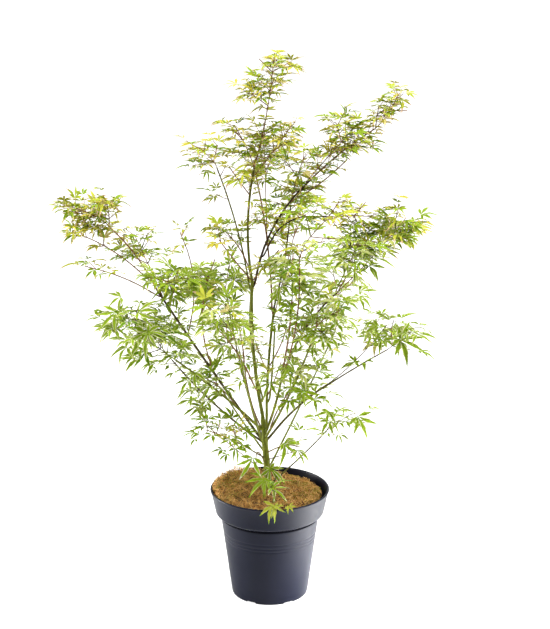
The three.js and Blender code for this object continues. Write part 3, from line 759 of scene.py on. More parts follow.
# %% The masses of foliage, in millimetres
# Name, limb, share of the limb's length, middle and half sizes of its space, seed, age of its leaves,
# how closely they stand, and how far down in the space they reach, from -1 at its bottom to 1
MASSES = [
    ("leaves_top", "leader_top", 1, (4, 2, 842), (62, 54, 62), 25, 0.05, 1.1, -1.1),
    ("leaves_upper_left", "stem_b_cross", 1, (-46, 4, 744), (46, 46, 44), 48, 0.1, 0.65, -0.7),
    ("leaves_upper_right", "leader_mid", 0.93, (22, -18, 748), (42, 46, 50), 17, 0.1, 0.68, -0.7),
    ("leaves_left_spur", "left_spur", 1, (-94, 36, 705), (50, 44, 36), 42, 0.1, 0.75, -0.6),
    ("leaves_upper_centre", "stem_b_high", 1, (47, 70, 675), (46, 50, 56), 6, 0.18, 0.9, -0.8),
    ("leaves_far_right_tip", "long_right_high", 1, (188, 84, 778), (42, 46, 54), 80, 0.05, 1.6, -1.1),
    ("leaves_long_bough", "long_right_low", 0.94, (114, 58, 728), (56, 48, 46), 33, 0.14, 1.05, -0.6),
    ("leaves_right_high", "right_arch", 1, (134, -6, 622), (62, 54, 44), 67, 0.14, 1.2, -0.8),
    ("leaves_right_out", "right_long", 1, (192, -14, 604), (58, 54, 50), 88, 0.3, 1.1, -0.6),
    ("leaves_right_low", "right_long", 0.93, (126, -62, 576), (52, 50, 44), 45, 0.5, 0.9, -0.5),
    ("leaves_centre", "stem_c_high", 1, (32, -70, 558), (48, 46, 46), 5, 0.42, 0.9, -0.8),
    ("leaves_front_right", "stem_red", 1, (71, -140, 630), (54, 50, 50), 76, 0.3, 0.6, -0.7),
    ("leaves_right_mid", "stem_d", 1, (93, -124, 498), (50, 50, 38), 16, 0.5, 0.9, -0.7),
    ("leaves_low_right_top", "low_right", 1, (174, 60, 417), (50, 46, 32), 18, 0.55, 0.6, -0.3),
    ("leaves_low_right_tip", "low_right_out", 1, (202, -28, 438), (52, 46, 32), 77, 0.6, 0.75, -0.3),
    ("leaves_back_right", "stem_f", 1, (105, 150, 463), (54, 50, 50), 72, 0.6, 0.8, -0.5),
    ("leaves_low_right_fan", "low_back_right", 1, (117, 118, 247), (54, 46, 30), 56, 0.6, 0.42, -0.6),
    ("leaves_left_bottom", "stem_h", 1, (-101, 76, 331), (46, 46, 40), 18, 0.66, 0.5, -0.5),
    ("leaves_left_low_in", "stem_i", 1, (-175, 64, 395), (44, 46, 46), 67, 0.66, 0.7, -0.3),
    ("leaves_left_low_out", "stem_j", 1, (-207, -58, 458), (58, 52, 54), 86, 0.68, 1.05, -0.4),
    ("leaves_left_mid", "stem_k_low", 0.9, (-142, -30, 530), (56, 50, 42), 82, 0.36, 1.25, -0.9),
    ("leaves_left_wing", "stem_k_low", 0.96, (-204, 44, 566), (50, 46, 36), 81, 0.24, 0.9, -0.7),
    ("leaves_far_left", "stem_k_high", 1, (-280, 4, 624), (50, 48, 46), 79, 0.08, 1.6, -1.1),
    ("leaves_inner_left", "stem_m", 1, (-94, 134, 482), (56, 54, 48), 83, 0.52, 1.35, -0.9),
    ("leaves_front_left", "stem_l", 1, (-69, -146, 496), (54, 50, 48), 70, 0.42, 0.8, -0.6),
    ("leaves_back_high", "stem_b_low", 0.9, (48, 156, 590), (54, 50, 50), 28, 0.35, 0.7, -0.6),
    ("leaves_back_top", "stem_b_cross", 0.6, (-8, 112, 690), (50, 48, 48), 11, 0.2, 0.7, -0.7),
    ("leaves_low_left", "trunk", 0.56, (-88, -30, 284), (50, 44, 30), 68, 0.45, 0.2, -0.2),
    ("leaves_low_right", "trunk", 0.7, (38, -38, 252), (40, 38, 28), 23, 0.6, 0.22, -0.3),
    ("leaves_front", "trunk", 0.16, (6, -70, 200), (60, 52, 34), 32, 0.75, 0.12, -0.9),
]

# %% Sizes of leaf places, twigs and stems
LEAF = {
    "stalk": 12, "lobes": (-98, -47, 0, 47, 98), "lengths": (20, 30, 34, 30, 20),
    "droop": 0.22, "lobe_half_width": 3.6, "turns": (0, 0.5, -0.5, 1, -1), "apart": 2.4, "slack": 0.3,
    "steepness": 0.4, "dip": 0.1, "dip_swing": 0.2, "tilt": 0.35,
}
TWIG = {
    "radius": 1.05, "tip": 0.7, "spacing": 17, "shortest": 10, "longest": 36, "shortening": 4,
    "clear": 0.5, "beyond_tip": 20, "pair_at": 0.55, "turn_swing": 0.5, "forward": 0.55,
    "forward_swing": 0.15, "steepness": 0.8,
}
STEM = {"beyond": 0.45, "leaf_at": 0.99, "pair_at": 0.93}
STRETCH = 38
FIRST_STRETCH = 3
GAP = 0.3
KNEE = {"gap": 0.9, "least_forward": 0.2, "forward": 1.3, "most_forward": 1.3}
UP = np.array([0.0, 0, 1])
print(len(BOUGHS), "boughs and", len(MASSES), "masses")


# %% Lines and directions
def vec(values):
    return np.array(values, float)


def unit(v):
    return v / np.linalg.norm(v)


def seeded(seed):
    """The same numbers for the same seed as the solids have."""
    state = (seed * 7919 + 12345) % 2**32

    def draw():
        nonlocal state
        state = (state * 1664525 + 1013904223) % 2**32
        return state / 2**32

    return draw


def bent_route(start, control, end, steps):
    t = np.linspace(0, 1, steps + 1)[:, None]
    return (1 - t) ** 2 * start + 2 * t * (1 - t) * control + t**2 * end


def line_point(line, share):
    """The point at a share of a line's stretches, and the line's direction there."""
    place = share * (len(line) - 1)
    i = min(int(place), len(line) - 2)
    return lerp(line[i], line[i + 1], place - i), unit(line[i + 1] - line[i])


def point_on(limb, share):
    """A point of a limb, the limb's direction there and its radius."""
    radii = limb["radii"]
    radius = np.interp(share * (len(radii) - 1), np.arange(len(radii)), radii)
    return *line_point(limb["curve"], share), radius


def start_on(parent, share, towards, radius):
    """Where a limb starts: straight on from a tip, or with a knee beside its parent."""
    point, along, thick = point_on(parent, share)
    if share == 1:
        return [], point + along * GAP, along
    away = towards - point
    straight = unit(away)
    away = unit(away - along * (away @ along))
    beside = thick + radius + KNEE["gap"]
    forward = max(straight @ along, KNEE["least_forward"]) * KNEE["forward"]
    forward = beside * min(forward, KNEE["most_forward"])
    return [point], point + away * beside + along * forward, straight


def grown_curve(lead, start, along, control, end, span, least_steps):
    """A centre line that bends to its tip, with a short straight start where it follows on from a tip."""
    steps = max(math.floor(span / STRETCH + 0.5), least_steps)
    if lead:
        return np.vstack([*lead, bent_route(start, control, end, steps)])
    first = start + along * FIRST_STRETCH
    return np.vstack([start, first, bent_route(first, control, end, steps)[1:]])


# %% Growing the trunk and the boughs
def grow_trunk():
    bottom = PAD_HEIGHT + GAP
    foot, top = vec((*TRUNK["foot"], bottom)), vec(TRUNK["top"])
    shares = vec([0, 0.03, 0.08, 0.16, 0.35, 0.7, 1])
    curve = foot + (top - foot) * shares[:, None]
    curve[1][:2] = foot[:2]
    body = lerp(TRUNK["radius"], TRUNK["top_radius"], shares)
    rise = shares * (top[2] - bottom)
    radii = body + TRUNK["flare"] * np.exp(-rise / TRUNK["flare_height"])
    return {"name": "trunk", "curve": curve, "radii": radii}


limbs = {"trunk": grow_trunk()}
side_stems = {}


def limb_called(name):
    return limbs.get(name) or side_stems[name]


def grow_bough(row):
    name, parent_name, share, tip, bow, foot_radius, tip_radius = row
    end = vec(tip)
    lead, start, along = start_on(limb_called(parent_name), share, end, foot_radius)
    control = (start + end) / 2 + 2 * vec(bow)
    curve = grown_curve(lead, start, along, control, end, np.linalg.norm(end - start), 3)
    radii = np.linspace(foot_radius, tip_radius, len(curve))
    return {"name": name, "parent": parent_name, "curve": curve, "radii": radii, "share": share}


for bough_row in BOUGHS:
    limbs[bough_row[0]] = grow_bough(bough_row)
print(len(limbs), "limbs")

# %% [markdown]
# Between the boughs the real plant has many thinner stems, some as twins beside a stronger one. They
# are too fine for the solids, so they are grown here by the same rule from rows of the same form. The
# last table says which limbs carry leaves of their own: from what share of the length, how closely
# the pairs follow, and how old the leaves are.

# %% Thin side stems
SIDE_STEMS = [
    ("leader_twin", "leader_low", 0.23, (-29, -6, 500), (-8, 2, 2), 1.5, 1.1),
    ("stem_b_twin", "stem_b_low", 0.32, (8, 30, 437), (1, -5, -1), 1.5, 1.2),
    ("left_reach", "leader_low", 0.31, (-84, -58, 463), (1, 0, 11), 1.4, 0.8),
    ("left_reach_side", "left_reach", 0.44, (-47, -34, 455), (1, 4, -1), 0.9, 0.7),
    ("left_inner", "trunk", 0.86, (-43, 52, 387), (-4, 0, -10), 1.3, 0.8),
    ("left_thin", "stem_k_low", 0.23, (-86, -34, 366), (-1, 0, 5), 1.1, 0.7),
    ("right_thin", "stem_d", 0.2, (28, -46, 350), (-1, 7, 1), 1.1, 0.8),
    ("cross_thin", "stem_b_low", 0.37, (18, 4, 386), (0, 3, -3), 1.0, 0.7),
    ("upright_thin", "stem_b_low", 0.58, (27, 20, 440), (3, 2, 0), 1.1, 0.8),
    ("pale_twig", "stem_b_low", 0.54, (-20, -8, 419), (-2, 0, 0), 0.8, 0.6),
    ("low_left_shoot", "trunk", 0.71, (-99, -50, 293), (-1, 1, 4), 1.2, 0.7),
    ("low_left_fork", "low_left_shoot", 0.59, (-56, -34, 287), (1, 1, 0), 0.8, 0.6),
    ("low_right_shoot", "trunk", 0.75, (47, -54, 266), (2, 1, 6), 1.1, 0.7),
    ("sucker", "trunk", 0.69, (-21, -44, 231), (-5, 2, 19), 0.9, 0.7),
    ("spur_twig_low", "leader_low", 1.0, (-76, -38, 593), (0, 5, -2), 1.1, 0.7),
    ("spur_twig_high", "leader_low", 1.0, (-73, 16, 599), (8, 0, 3), 1.0, 0.7),
    ("arch_twig", "leader_low", 1.0, (14, -26, 574), (-1, 5, -2), 1.1, 0.7),
    ("leader_side", "leader_mid", 0.8, (-59, -30, 702), (0, 1, -1), 0.9, 0.6),
    ("bough_diagonal", "long_right_low", 0.8, (120, 50, 699), (0, 4, -6), 1.0, 0.7),
    ("right_inner", "right_long", 0.97, (144, 0, 584), (2, 0, 0), 0.9, 0.6),
    ("wing_side", "stem_k_low", 0.97, (-281, -30, 550), (2, -2, 6), 1.1, 0.6),
    ("far_left_upright", "stem_k_high", 0.97, (-252, -10, 656), (3, 0, 0), 0.9, 0.6),
    ("far_left_low", "stem_k_high", 0.35, (-300, -10, 597), (-2, 0, 12), 1.0, 0.6),
    ("mid_upright_one", "stem_k_low", 0.55, (-84, 0, 553), (-16, 0, 0), 1.1, 0.7),
    ("mid_upright_two", "stem_k_low", 0.74, (-138, 20, 591), (14, 0, 4), 1.0, 0.6),
]
for stem_row in SIDE_STEMS:
    side_stems[stem_row[0]] = grow_bough(stem_row)
print(len(side_stems), "side stems")

# %% Leafy limbs
LEAFY_LIMBS = {
    "leader_top": (0.0, 8, 0.08), "leader_mid": (0.45, 9, 0.12), "left_spur": (0.25, 34, 0.2),
    "long_right_low": (0.4, 16, 0.24), "long_right_high": (0.0, 8, 0.1), "right_arch": (0.4, 16, 0.2),
    "stem_b_high": (0.25, 18, 0.3), "stem_b_cross": (0.3, 26, 0.26), "stem_c_high": (0.3, 16, 0.4),
    "right_long": (0.5, 16, 0.42), "stem_red": (0.4, 20, 0.36), "stem_d": (0.4, 18, 0.5),
    "low_right_out": (0.5, 24, 0.5), "stem_f": (0.5, 20, 0.55), "stem_i": (0.5, 20, 0.6),
    "stem_h": (0.8, 34, 0.6), "right_thin": (0.4, 18, 0.5), "stem_c_low": (0.6, 30, 0.5),
    "stem_j": (0.7, 22, 0.6), "stem_k_low": (0.7, 18, 0.4), "stem_k_high": (0.2, 22, 0.18),
    "stem_l": (0.6, 20, 0.45), "stem_m": (0.6, 18, 0.5), "low_right": (0.85, 20, 0.5),
    "left_reach": (0.35, 16, 0.45), "left_reach_side": (0.5, 14, 0.45), "left_inner": (0.5, 22, 0.5),
    "left_thin": (0.4, 14, 0.5), "cross_thin": (0.6, 26, 0.45), "upright_thin": (0.5, 16, 0.42),
    "pale_twig": (0.5, 12, 0.1), "low_left_shoot": (0.3, 13, 0.3), "low_left_fork": (0.4, 10, 0.25),
    "low_right_shoot": (0.45, 16, 0.45), "spur_twig_low": (0.4, 13, 0.16),
    "spur_twig_high": (0.4, 14, 0.2), "arch_twig": (0.3, 13, 0.25), "leader_side": (0.4, 12, 0.15),
    "bough_diagonal": (0.4, 16, 0.2), "right_inner": (0.3, 12, 0.35), "wing_side": (0.4, 13, 0.22),
    "far_left_upright": (0.2, 9, 0.1), "far_left_low": (0.5, 13, 0.14),
    "mid_upright_one": (0.62, 15, 0.2), "mid_upright_two": (0.6, 15, 0.18),
}
print(len(LEAFY_LIMBS), "leafy limbs")

# %% [markdown]
# The wood is drawn as smooth tubes with relief. The straight stretches of the solids are turned into
# a spline, the surface gets fine ridges along it, and every few centimetres a pair of old bud scars
# makes a thin swollen ring, which is what gives maple stems their jointed look.

# %% Drawing one limb with its bark
NODE_RING = {"spacing": 34, "swell": 0.16, "half_length": 1.5}
BARK = {"step": 3.0, "sides": 14, "depth": 0.24, "ridge": 0.07, "ridge_length": 22}


def smooth_line(curve, values, step):
    """A spline through the points, about one point to each step, with the values carried along."""
    padded = np.vstack([2 * curve[0] - curve[1], curve, 2 * curve[-1] - curve[-2]])
    line, carried = [], []
    for i in range(1, len(padded) - 2):
        p0, p1, p2, p3 = padded[i - 1 : i + 3]
        count = max(int(np.linalg.norm(p2 - p1) / step), 1)
        for t in np.arange(count) / count:
            spline = 2 * p1 + (p2 - p0) * t + (2 * p0 - 5 * p1 + 4 * p2 - p3) * t**2
            line.append(0.5 * (spline + (3 * p1 - p0 - 3 * p2 + p3) * t**3))
            carried.append(values[i - 1] + (values[i] - values[i - 1]) * t)
    return np.array([*line, curve[-1]]), np.array([*carried, values[-1]])


def bark_parts(line, radii, phase):
    points, faces = tube_parts(line, radii, BARK["sides"])
    reach = np.concatenate([[0], np.cumsum(np.linalg.norm(np.diff(line, axis=0), axis=1))])
    for i, (centre, distance) in enumerate(zip(line, reach)):
        gap = (distance + phase) % NODE_RING["spacing"] - NODE_RING["spacing"] / 2
        ring = NODE_RING["swell"] * math.exp(-((gap / NODE_RING["half_length"]) ** 2))
        row = distance / BARK["ridge_length"] + phase
        for k in range(BARK["sides"]):
            at = i * BARK["sides"] + k
            ridge = noise.noise(Vector((3 * math.cos(k), 3 * math.sin(k), row)))
            points[at] = centre + (points[at] - centre) * (1 + ring + BARK["ridge"] * ridge)
    return points, faces


# %% Drawing all the wood
OLIVE_LIMBS = {
    "trunk", "leader_low", "leader_mid", "stem_b_low", "stem_c_low", "stem_d", "stem_j", "stem_h",
    "stem_f", "stem_l", "left_spur",
}
BROWN_LIMBS = {
    "long_right_low", "right_arch", "low_right", "low_right_out", "low_back_right", "stem_k_low", "stem_i",
    "stem_m", "stem_b_high", "right_long",
}


def bark_of(name):
    if name in OLIVE_LIMBS:
        return barks["bark_olive"]
    return barks["bark_brown"] if name in BROWN_LIMBS else barks["bark_red"]


def drawn_limb(limb):
    """The limb's smooth line and radii, joined to its parent with no gap or step."""
    curve, radii = limb["curve"].copy(), limb["radii"].copy()
    if limb["name"] == "trunk":
        radii[-1] = limbs["leader_low"]["radii"][0] + 0.2
    elif limb["share"] == 1:
        parent = limbs[limb["parent"]]
        curve[0] = parent["curve"][-1] - unit(parent["curve"][-1] - parent["curve"][-2])
        if limb["parent"] != "trunk":
            radii[0] = parent["radii"][-1]
    return smooth_line(curve, radii + BARK["depth"], BARK["step"])


for order, limb in enumerate(limbs.values()):
    line, radii = drawn_limb(limb)
    bark_points, bark_faces = bark_parts(line, radii, 7.3 * order)
    wood = object_from(limb["name"] + "_wood", bark_points, bark_faces, [bark_of(limb["name"])])
    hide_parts(limb["name"])
print("drew", len(limbs), "limbs with", BARK["sides"], "sides")

thin_wood = Joined()
for order, limb in enumerate(side_stems.values()):
    line, radii = smooth_line(limb["curve"], limb["radii"] + 0.6 * BARK["depth"], BARK["step"])
    bark = OLIVE_BARK if "twin" in limb["name"] else RED_BARK
    thin_wood.add(*bark_parts(line, radii, 3.1 * order), bark)
thin_wood.make("side_stems", [*barks.values()], "bark")

# %% [markdown]
# Each mass of foliage keeps to its own rounded space, and no space overlaps another: a point belongs
# to the mass whose middle it is nearest to, weighted by size. A twig or leaf that would leave the
# space, meet a limb or cross another leaf is left out, by the same tests as in the solids. Here the
# distances to all the limbs are worked out at once with arrays, which is much faster.

# %% The spaces of the masses
space_middles = np.array([row[3] for row in MASSES], float)
space_halves = np.array([row[4] for row in MASSES], float)
space_weights = space_halves.mean(axis=1) ** 2
SPACE_MARGIN = 1.2
POT_CLEAR = {"outside": 2, "inside": 14, "coir": 2}


def space_offset(i, point):
    """Where a point lies in a space: 1 away from its middle is on its surface."""
    return (point - space_middles[i]) / space_halves[i]


def in_space(i, point, slack):
    if np.linalg.norm(space_offset(i, point)) > 1 + slack:
        return False
    closeness = ((point - space_middles) ** 2).sum(axis=1) - space_weights
    margin = SPACE_MARGIN * np.linalg.norm(space_middles - space_middles[i], axis=1)
    clear = closeness[i] + margin < closeness
    clear[i] = True
    return bool(clear.all())


# %% Distances between limbs, leaves and the pot
def clear_of_pot(point):
    x, y, height = point
    out = math.hypot(x, y)
    if height > POT["height"] + POT_CLEAR["outside"] or out > POT["lip"] + POT_CLEAR["outside"]:
        return True
    return out < POT["lip"] - POT_CLEAR["inside"] and height > coir_top(x, y) + POT_CLEAR["coir"]


def stretches_of(things):
    """The straight stretches of several limbs as arrays: starts, ends and radii."""
    starts = np.vstack([thing["curve"][:-1] for thing in things])
    ends = np.vstack([thing["curve"][1:] for thing in things])
    thick = np.concatenate([np.maximum(thing["radii"][:-1], thing["radii"][1:]) for thing in things])
    return starts, ends, thick


def stretch_distance(a0, a1, b0, b1):
    """Distance from one straight stretch to each of several."""
    u, v, w = a1 - a0, b1 - b0, a0 - b0
    a, b, c, d, e = u @ u, v @ u, (v * v).sum(1), w @ u, (w * v).sum(1)
    area = a * c - b * b
    s = np.where(area > 1e-9, np.clip((b * e - c * d) / np.where(area > 1e-9, area, 1), 0, 1), 0)
    t = np.clip((b * s + e) / np.maximum(c, 1e-9), 0, 1)
    s = np.clip((b * t - d) / max(a, 1e-9), 0, 1)
    return np.linalg.norm(w + s[:, None] * u - t[:, None] * v, axis=1)


def touches(start, end, half_width, obstacles):
    starts, ends, thick = obstacles
    return bool((stretch_distance(start, end, starts, ends) < thick + half_width + TWIG["clear"]).any())


# %% The stem and the leaf places of a mass
def stem_of(i, row):
    name, limb_name, share, middle, half = row[:5]
    parent, centre = limbs[limb_name], vec(middle)
    lead, start, along = start_on(parent, share, centre, TWIG["radius"])
    distance = np.linalg.norm(centre - start)
    heading = (centre - start) / distance
    beyond = STEM["beyond"] / np.linalg.norm(heading / vec(half))
    end, control = centre + heading * beyond, start + along * distance * 0.5
    curve = grown_curve(lead, start, along, control, end, distance + beyond, 2)
    radius = min(TWIG["radius"], point_on(parent, share)[2])
    radii = np.linspace(radius, TWIG["tip"], len(curve))
    return {"name": name, "curve": curve, "radii": radii, "space": i}


def leaf_place(root, along, normal):
    side = unit(np.cross(normal, along))
    lift = unit(np.cross(along, side))
    centre = root + along * LEAF["stalk"]
    tips = []
    for degrees, length in zip(LEAF["lobes"], LEAF["lengths"]):
        angle = math.radians(degrees)
        flat = centre + length * (along * math.cos(angle) + side * math.sin(angle))
        tips.append(flat - lift * LEAF["droop"] * length**2 / LEAF["lengths"][2])
    return {"root": root, "centre": centre, "along": along, "tips": tips}


def lobes_touch(leaf, obstacles):
    return any(touches(leaf["centre"], tip, LEAF["lobe_half_width"], obstacles) for tip in leaf["tips"])


def blade_touches(leaf, obstacles):
    return lobes_touch(leaf, obstacles) or touches(leaf["root"], leaf["centre"], 1, obstacles)


def blades_cross(leaf, other):
    if np.linalg.norm(leaf["centre"] - other["centre"]) > 2 * LEAF["lengths"][2]:
        return False
    centres, tips = np.array([other["centre"]] * 5), np.array(other["tips"])
    return any(
        (stretch_distance(leaf["centre"], tip, centres, tips) < LEAF["apart"]).any() for tip in leaf["tips"]
    )


# %% [markdown]
# A mass grows as a young shoot does: pairs of twigs leave the stem, each pair turned a quarter turn
# from the last, and every twig ends in a leaf with a pair of leaves behind it. The random numbers are
# drawn in the same order as in the solids, which is what keeps the two alike.

# %% Growing one mass
class Mass:
    def __init__(self, stem, seed, obstacles):
        self.stem, self.random, self.obstacles = stem, seeded(seed), obstacles
        self.twigs, self.leaves = [], []

    def swing(self, size):
        return (self.random() * 2 - 1) * size

    def fits(self, point, slack):
        return in_space(self.stem["space"], point, slack) and clear_of_pot(point)

    def add_leaf(self, root, heading, bearer):
        level = unit(vec((heading[0], heading[1], 0)))
        level[2] = heading[2] * LEAF["steepness"] - LEAF["dip"] + self.swing(LEAF["dip_swing"])
        normal = vec((self.swing(LEAF["tilt"]), self.swing(LEAF["tilt"]), 1))
        for turn in LEAF["turns"]:
            c, s = math.cos(turn), math.sin(turn)
            along = unit(vec((level[0] * c - level[1] * s, level[0] * s + level[1] * c, level[2])))
            leaf = leaf_place(root, along, normal)
            if self.leaf_fits(leaf, bearer):
                self.leaves.append(leaf)
                return True
        return False

    def leaf_fits(self, leaf, bearer):
        ends = (leaf["root"], leaf["centre"], *leaf["tips"])
        if not all(self.fits(point, LEAF["slack"]) for point in ends):
            return False
        if blade_touches(leaf, self.obstacles) or any(blades_cross(leaf, other) for other in self.leaves):
            return False
        return not lobes_touch(leaf, stretches_of([bearer, self.stem, *self.twigs]))

    def add_twig(self, root, heading):
        length = TWIG["longest"] * (0.7 + 0.3 * self.random())
        while length > TWIG["shortest"]:
            if self.fits(root + heading * (length + TWIG["beyond_tip"]), LEAF["slack"]):
                break
            length -= TWIG["shortening"]
        if length <= TWIG["shortest"]:
            return self.add_leaf(root, heading, self.stem)
        tip = root + heading * length
        if touches(root, tip, TWIG["radius"], self.obstacles):
            return False
        twig = {"curve": np.array([root, tip]), "radii": vec([TWIG["radius"] * 0.85, TWIG["tip"]])}
        if any(blade_touches(leaf, stretches_of([twig])) for leaf in self.leaves):
            return False
        across = unit(np.cross(UP, heading))
        borne = self.add_leaf(root + heading * (length - 1), heading, twig)
        for hand in (1, -1):
            sideways = heading * 0.15 + across * hand
            borne = self.add_leaf(root + heading * length * TWIG["pair_at"], sideways, twig) or borne
        if borne:
            self.twigs.append(twig)
        return borne


# %% Growing all the masses
def add_pair(mass, point, along, i):
    level = unit(np.cross(UP, along))
    steep = unit(np.cross(along, level))
    turn = i % 2 * (math.pi / 2) + mass.swing(TWIG["turn_swing"])
    for hand in (1, -1):
        forward = along * (TWIG["forward"] + mass.swing(TWIG["forward_swing"]))
        upward = steep * hand * math.sin(turn) * TWIG["steepness"]
        mass.add_twig(point, unit(forward + level * hand * math.cos(turn) + upward))


def grow_mass(mass):
    """Pairs of twigs along the stem, then a leaf at its tip with a pair behind it."""
    stem = mass.stem
    length = np.linalg.norm(np.diff(stem["curve"], axis=0), axis=1).sum()
    nodes = int(length / TWIG["spacing"])
    for i in range(1, nodes):
        point, along, _ = point_on(stem, i / nodes)
        if in_space(stem["space"], point, 0):
            add_pair(mass, point, along, i)
    point, along, _ = point_on(stem, STEM["leaf_at"])
    mass.add_leaf(point, along, stem)
    pair_at = point_on(stem, STEM["pair_at"])[0]
    across = unit(np.cross(UP, along))
    for hand in (1, -1):
        mass.add_leaf(pair_at, along * 0.2 + across * hand, stem)


stems = [stem_of(i, row) for i, row in enumerate(MASSES)]
masses = []
for i, stem in enumerate(stems):
    near = stretches_of([*limbs.values(), *(other for other in stems if other is not stem)])
    masses.append(Mass(stem, MASSES[i][5], near))
    grow_mass(masses[-1])
leaf_places = sum(len(mass.leaves) for mass in masses)
print(leaf_places, "leaf places on", sum(len(mass.twigs) for mass in masses), "twigs")

# %% [markdown]
# A maple leaf is a hand of five or seven slim lobes that are swept forward. Each lobe is a strip of a
# few faces on either side of its midrib, folded along it and bent down at its tip. The older leaves
# get an extra row of faces along each edge for the pale margin, and a tooth or two. Forty-four
# leaves with different droop and curl are drawn once, and copied with turns and scales of their own.
# The unit of a drawn leaf is the length of its middle lobe.

# %% The lobes of a leaf
YOUNG_LOBE = {"along": (0.2, 0.46, 0.74), "half_width": (0.045, 0.088, 0.052), "across": (-1, 0, 1)}
GROWN_LOBE = {
    "along": (0.2, 0.38, 0.56, 0.62, 0.82), "half_width": (0.04, 0.08, 0.097, 0.072, 0.042),
    "across": (-1, -0.7, 0, 0.7, 1),
}
HAND_5 = {"turns": (-78, -37, 0, 37, 78), "lengths": (0.55, 0.86, 1, 0.86, 0.55)}
HAND_7 = {"turns": (-112, -72, -35, 0, 35, 72, 112), "lengths": (0.34, 0.66, 0.9, 1, 0.9, 0.66, 0.34)}
FOLD = 0.3
GREEN_FACE, MARGIN_FACE, TIP_FACE = 0, 1, 2


def lobe_points(shape, length, turn, droop, curl, twist):
    """Rows of points across a lobe, and its tip, bent down and to one side, and twisted."""
    rows = []
    for along, half in zip((*shape["along"], 1), (*shape["half_width"], 0)):
        for share in shape["across"] if half else (0,):
            reach, lean = along * length, twist * along
            y = half * share * math.cos(lean) + curl * reach**2
            z = half * share * math.sin(lean) + FOLD * abs(half * share) + 0.2 * along - droop * reach**2
            c, s = math.cos(turn), math.sin(turn)
            rows.append((reach * c - y * s, reach * s + y * c, z))
    return rows


def lobe_faces(shape, first):
    """Faces of one lobe, fanned from the leaf's middle, with what each one is."""
    rows, wide = len(shape["along"]), len(shape["across"])
    faces, kinds = [], []
    for column in range(wide - 1):
        edge = wide > 3 and column in (0, wide - 2)
        faces.append((0, first + column, first + column + 1))
        kinds.append(GREEN_FACE)
        for row in range(rows - 1):
            here = first + wide * row + column
            faces.append((here, here + wide, here + wide + 1, here + 1))
            kinds.append(MARGIN_FACE if edge else GREEN_FACE)
        here = first + wide * (rows - 1) + column
        faces.append((here, first + wide * rows, here + 1))
        kinds.append(TIP_FACE)
    return faces, kinds


# %% Drawing a leaf
def draw_leaf(shape, hand, least_droop, most_droop, draw):
    points, faces, kinds = [(0, 0, 0)], [], []
    droop = draw.uniform(least_droop, most_droop)
    for turn, length in zip(hand["turns"], hand["lengths"]):
        made = lobe_points(
            shape, length * draw.uniform(0.88, 1.08), math.radians(turn + draw.uniform(-7, 7)),
            droop + draw.uniform(-0.15, 0.25), draw.uniform(-0.35, 0.35), draw.uniform(-1, 1),
        )
        more, more_kinds = lobe_faces(shape, len(points))
        points.extend(made)
        faces.extend(more)
        kinds.extend(more_kinds)
    return {"points": np.array(points), "faces": faces, "kinds": np.array(kinds)}


leaf_draw = random.Random(5)
young_leaves = [draw_leaf(YOUNG_LOBE, HAND_5, 0.2, 0.6, leaf_draw) for _ in range(20)]
grown_leaves = [
    draw_leaf(GROWN_LOBE, leaf_draw.choice((HAND_5, HAND_5, HAND_7)), 0.15, 0.7, leaf_draw) for _ in range(24)
]
print("a young leaf has", len(young_leaves[0]["faces"]), "faces, a grown one", len(grown_leaves[0]["faces"]))

# %% [markdown]
# The leaves of each mass have an age, from 0 for the newest growth to 1 for the oldest. Young leaves
# are small, yellow-green and held out level, with gold or rosy tips among them. Old leaves are
# larger, greener and hang, with a cream margin. The age follows from where the mass is on the plant,
# and within a mass the leaves inside and below are older than those on top. Each leaf gets one of
# thirteen sets of colours, by chance, and those that are common at its age have the best chance.

# %% Leaf colours by age
# Age at which it is most common, how far it spreads in age, colours of blade, margin and tips
PALETTES = [
    (0.0, 0.25, "leaf_lime", "leaf_gold", "leaf_blush"),
    (0.0, 0.12, "leaf_gold", "leaf_gold", "leaf_blush"),
    (0.04, 0.3, "leaf_fresh", "leaf_gold", "leaf_blush"),
    (0.1, 0.3, "leaf_olive", "leaf_lime", "leaf_gold"),
    (0.16, 0.3, "leaf_lime", "leaf_lime", "leaf_blush"),
    (0.22, 0.3, "leaf_mid", "leaf_lime", "leaf_gold"),
    (0.32, 0.25, "leaf_mid", "leaf_fresh", "leaf_lime"),
    (0.4, 0.3, "leaf_mid", "margin_lime", "margin_lime"),
    (0.45, 0.15, "margin_lime", "margin_cream", "margin_cream"),
    (0.5, 0.35, "leaf_mid", "margin_lime", "leaf_fresh"),
    (0.6, 0.3, "leaf_mid", "margin_cream", "margin_cream"),
    (0.7, 0.35, "leaf_mid", "margin_cream", "margin_lime"),
    (0.9, 0.35, "leaf_deep", "margin_lime", "leaf_mid"),
]


def palette_for(age, draw):
    weights = [max(1 - abs(age - at) / spread, 0.01) for at, spread, *_ in PALETTES]
    return draw.choices(PALETTES, weights)[0][2:]


# %% [markdown]
# A crown is not filled evenly: light comes through it in places. These openings are listed here by
# their middles and half sizes, and no leaf starts or has its middle inside one. They lie between the
# sprays, where the photograph shows sky.

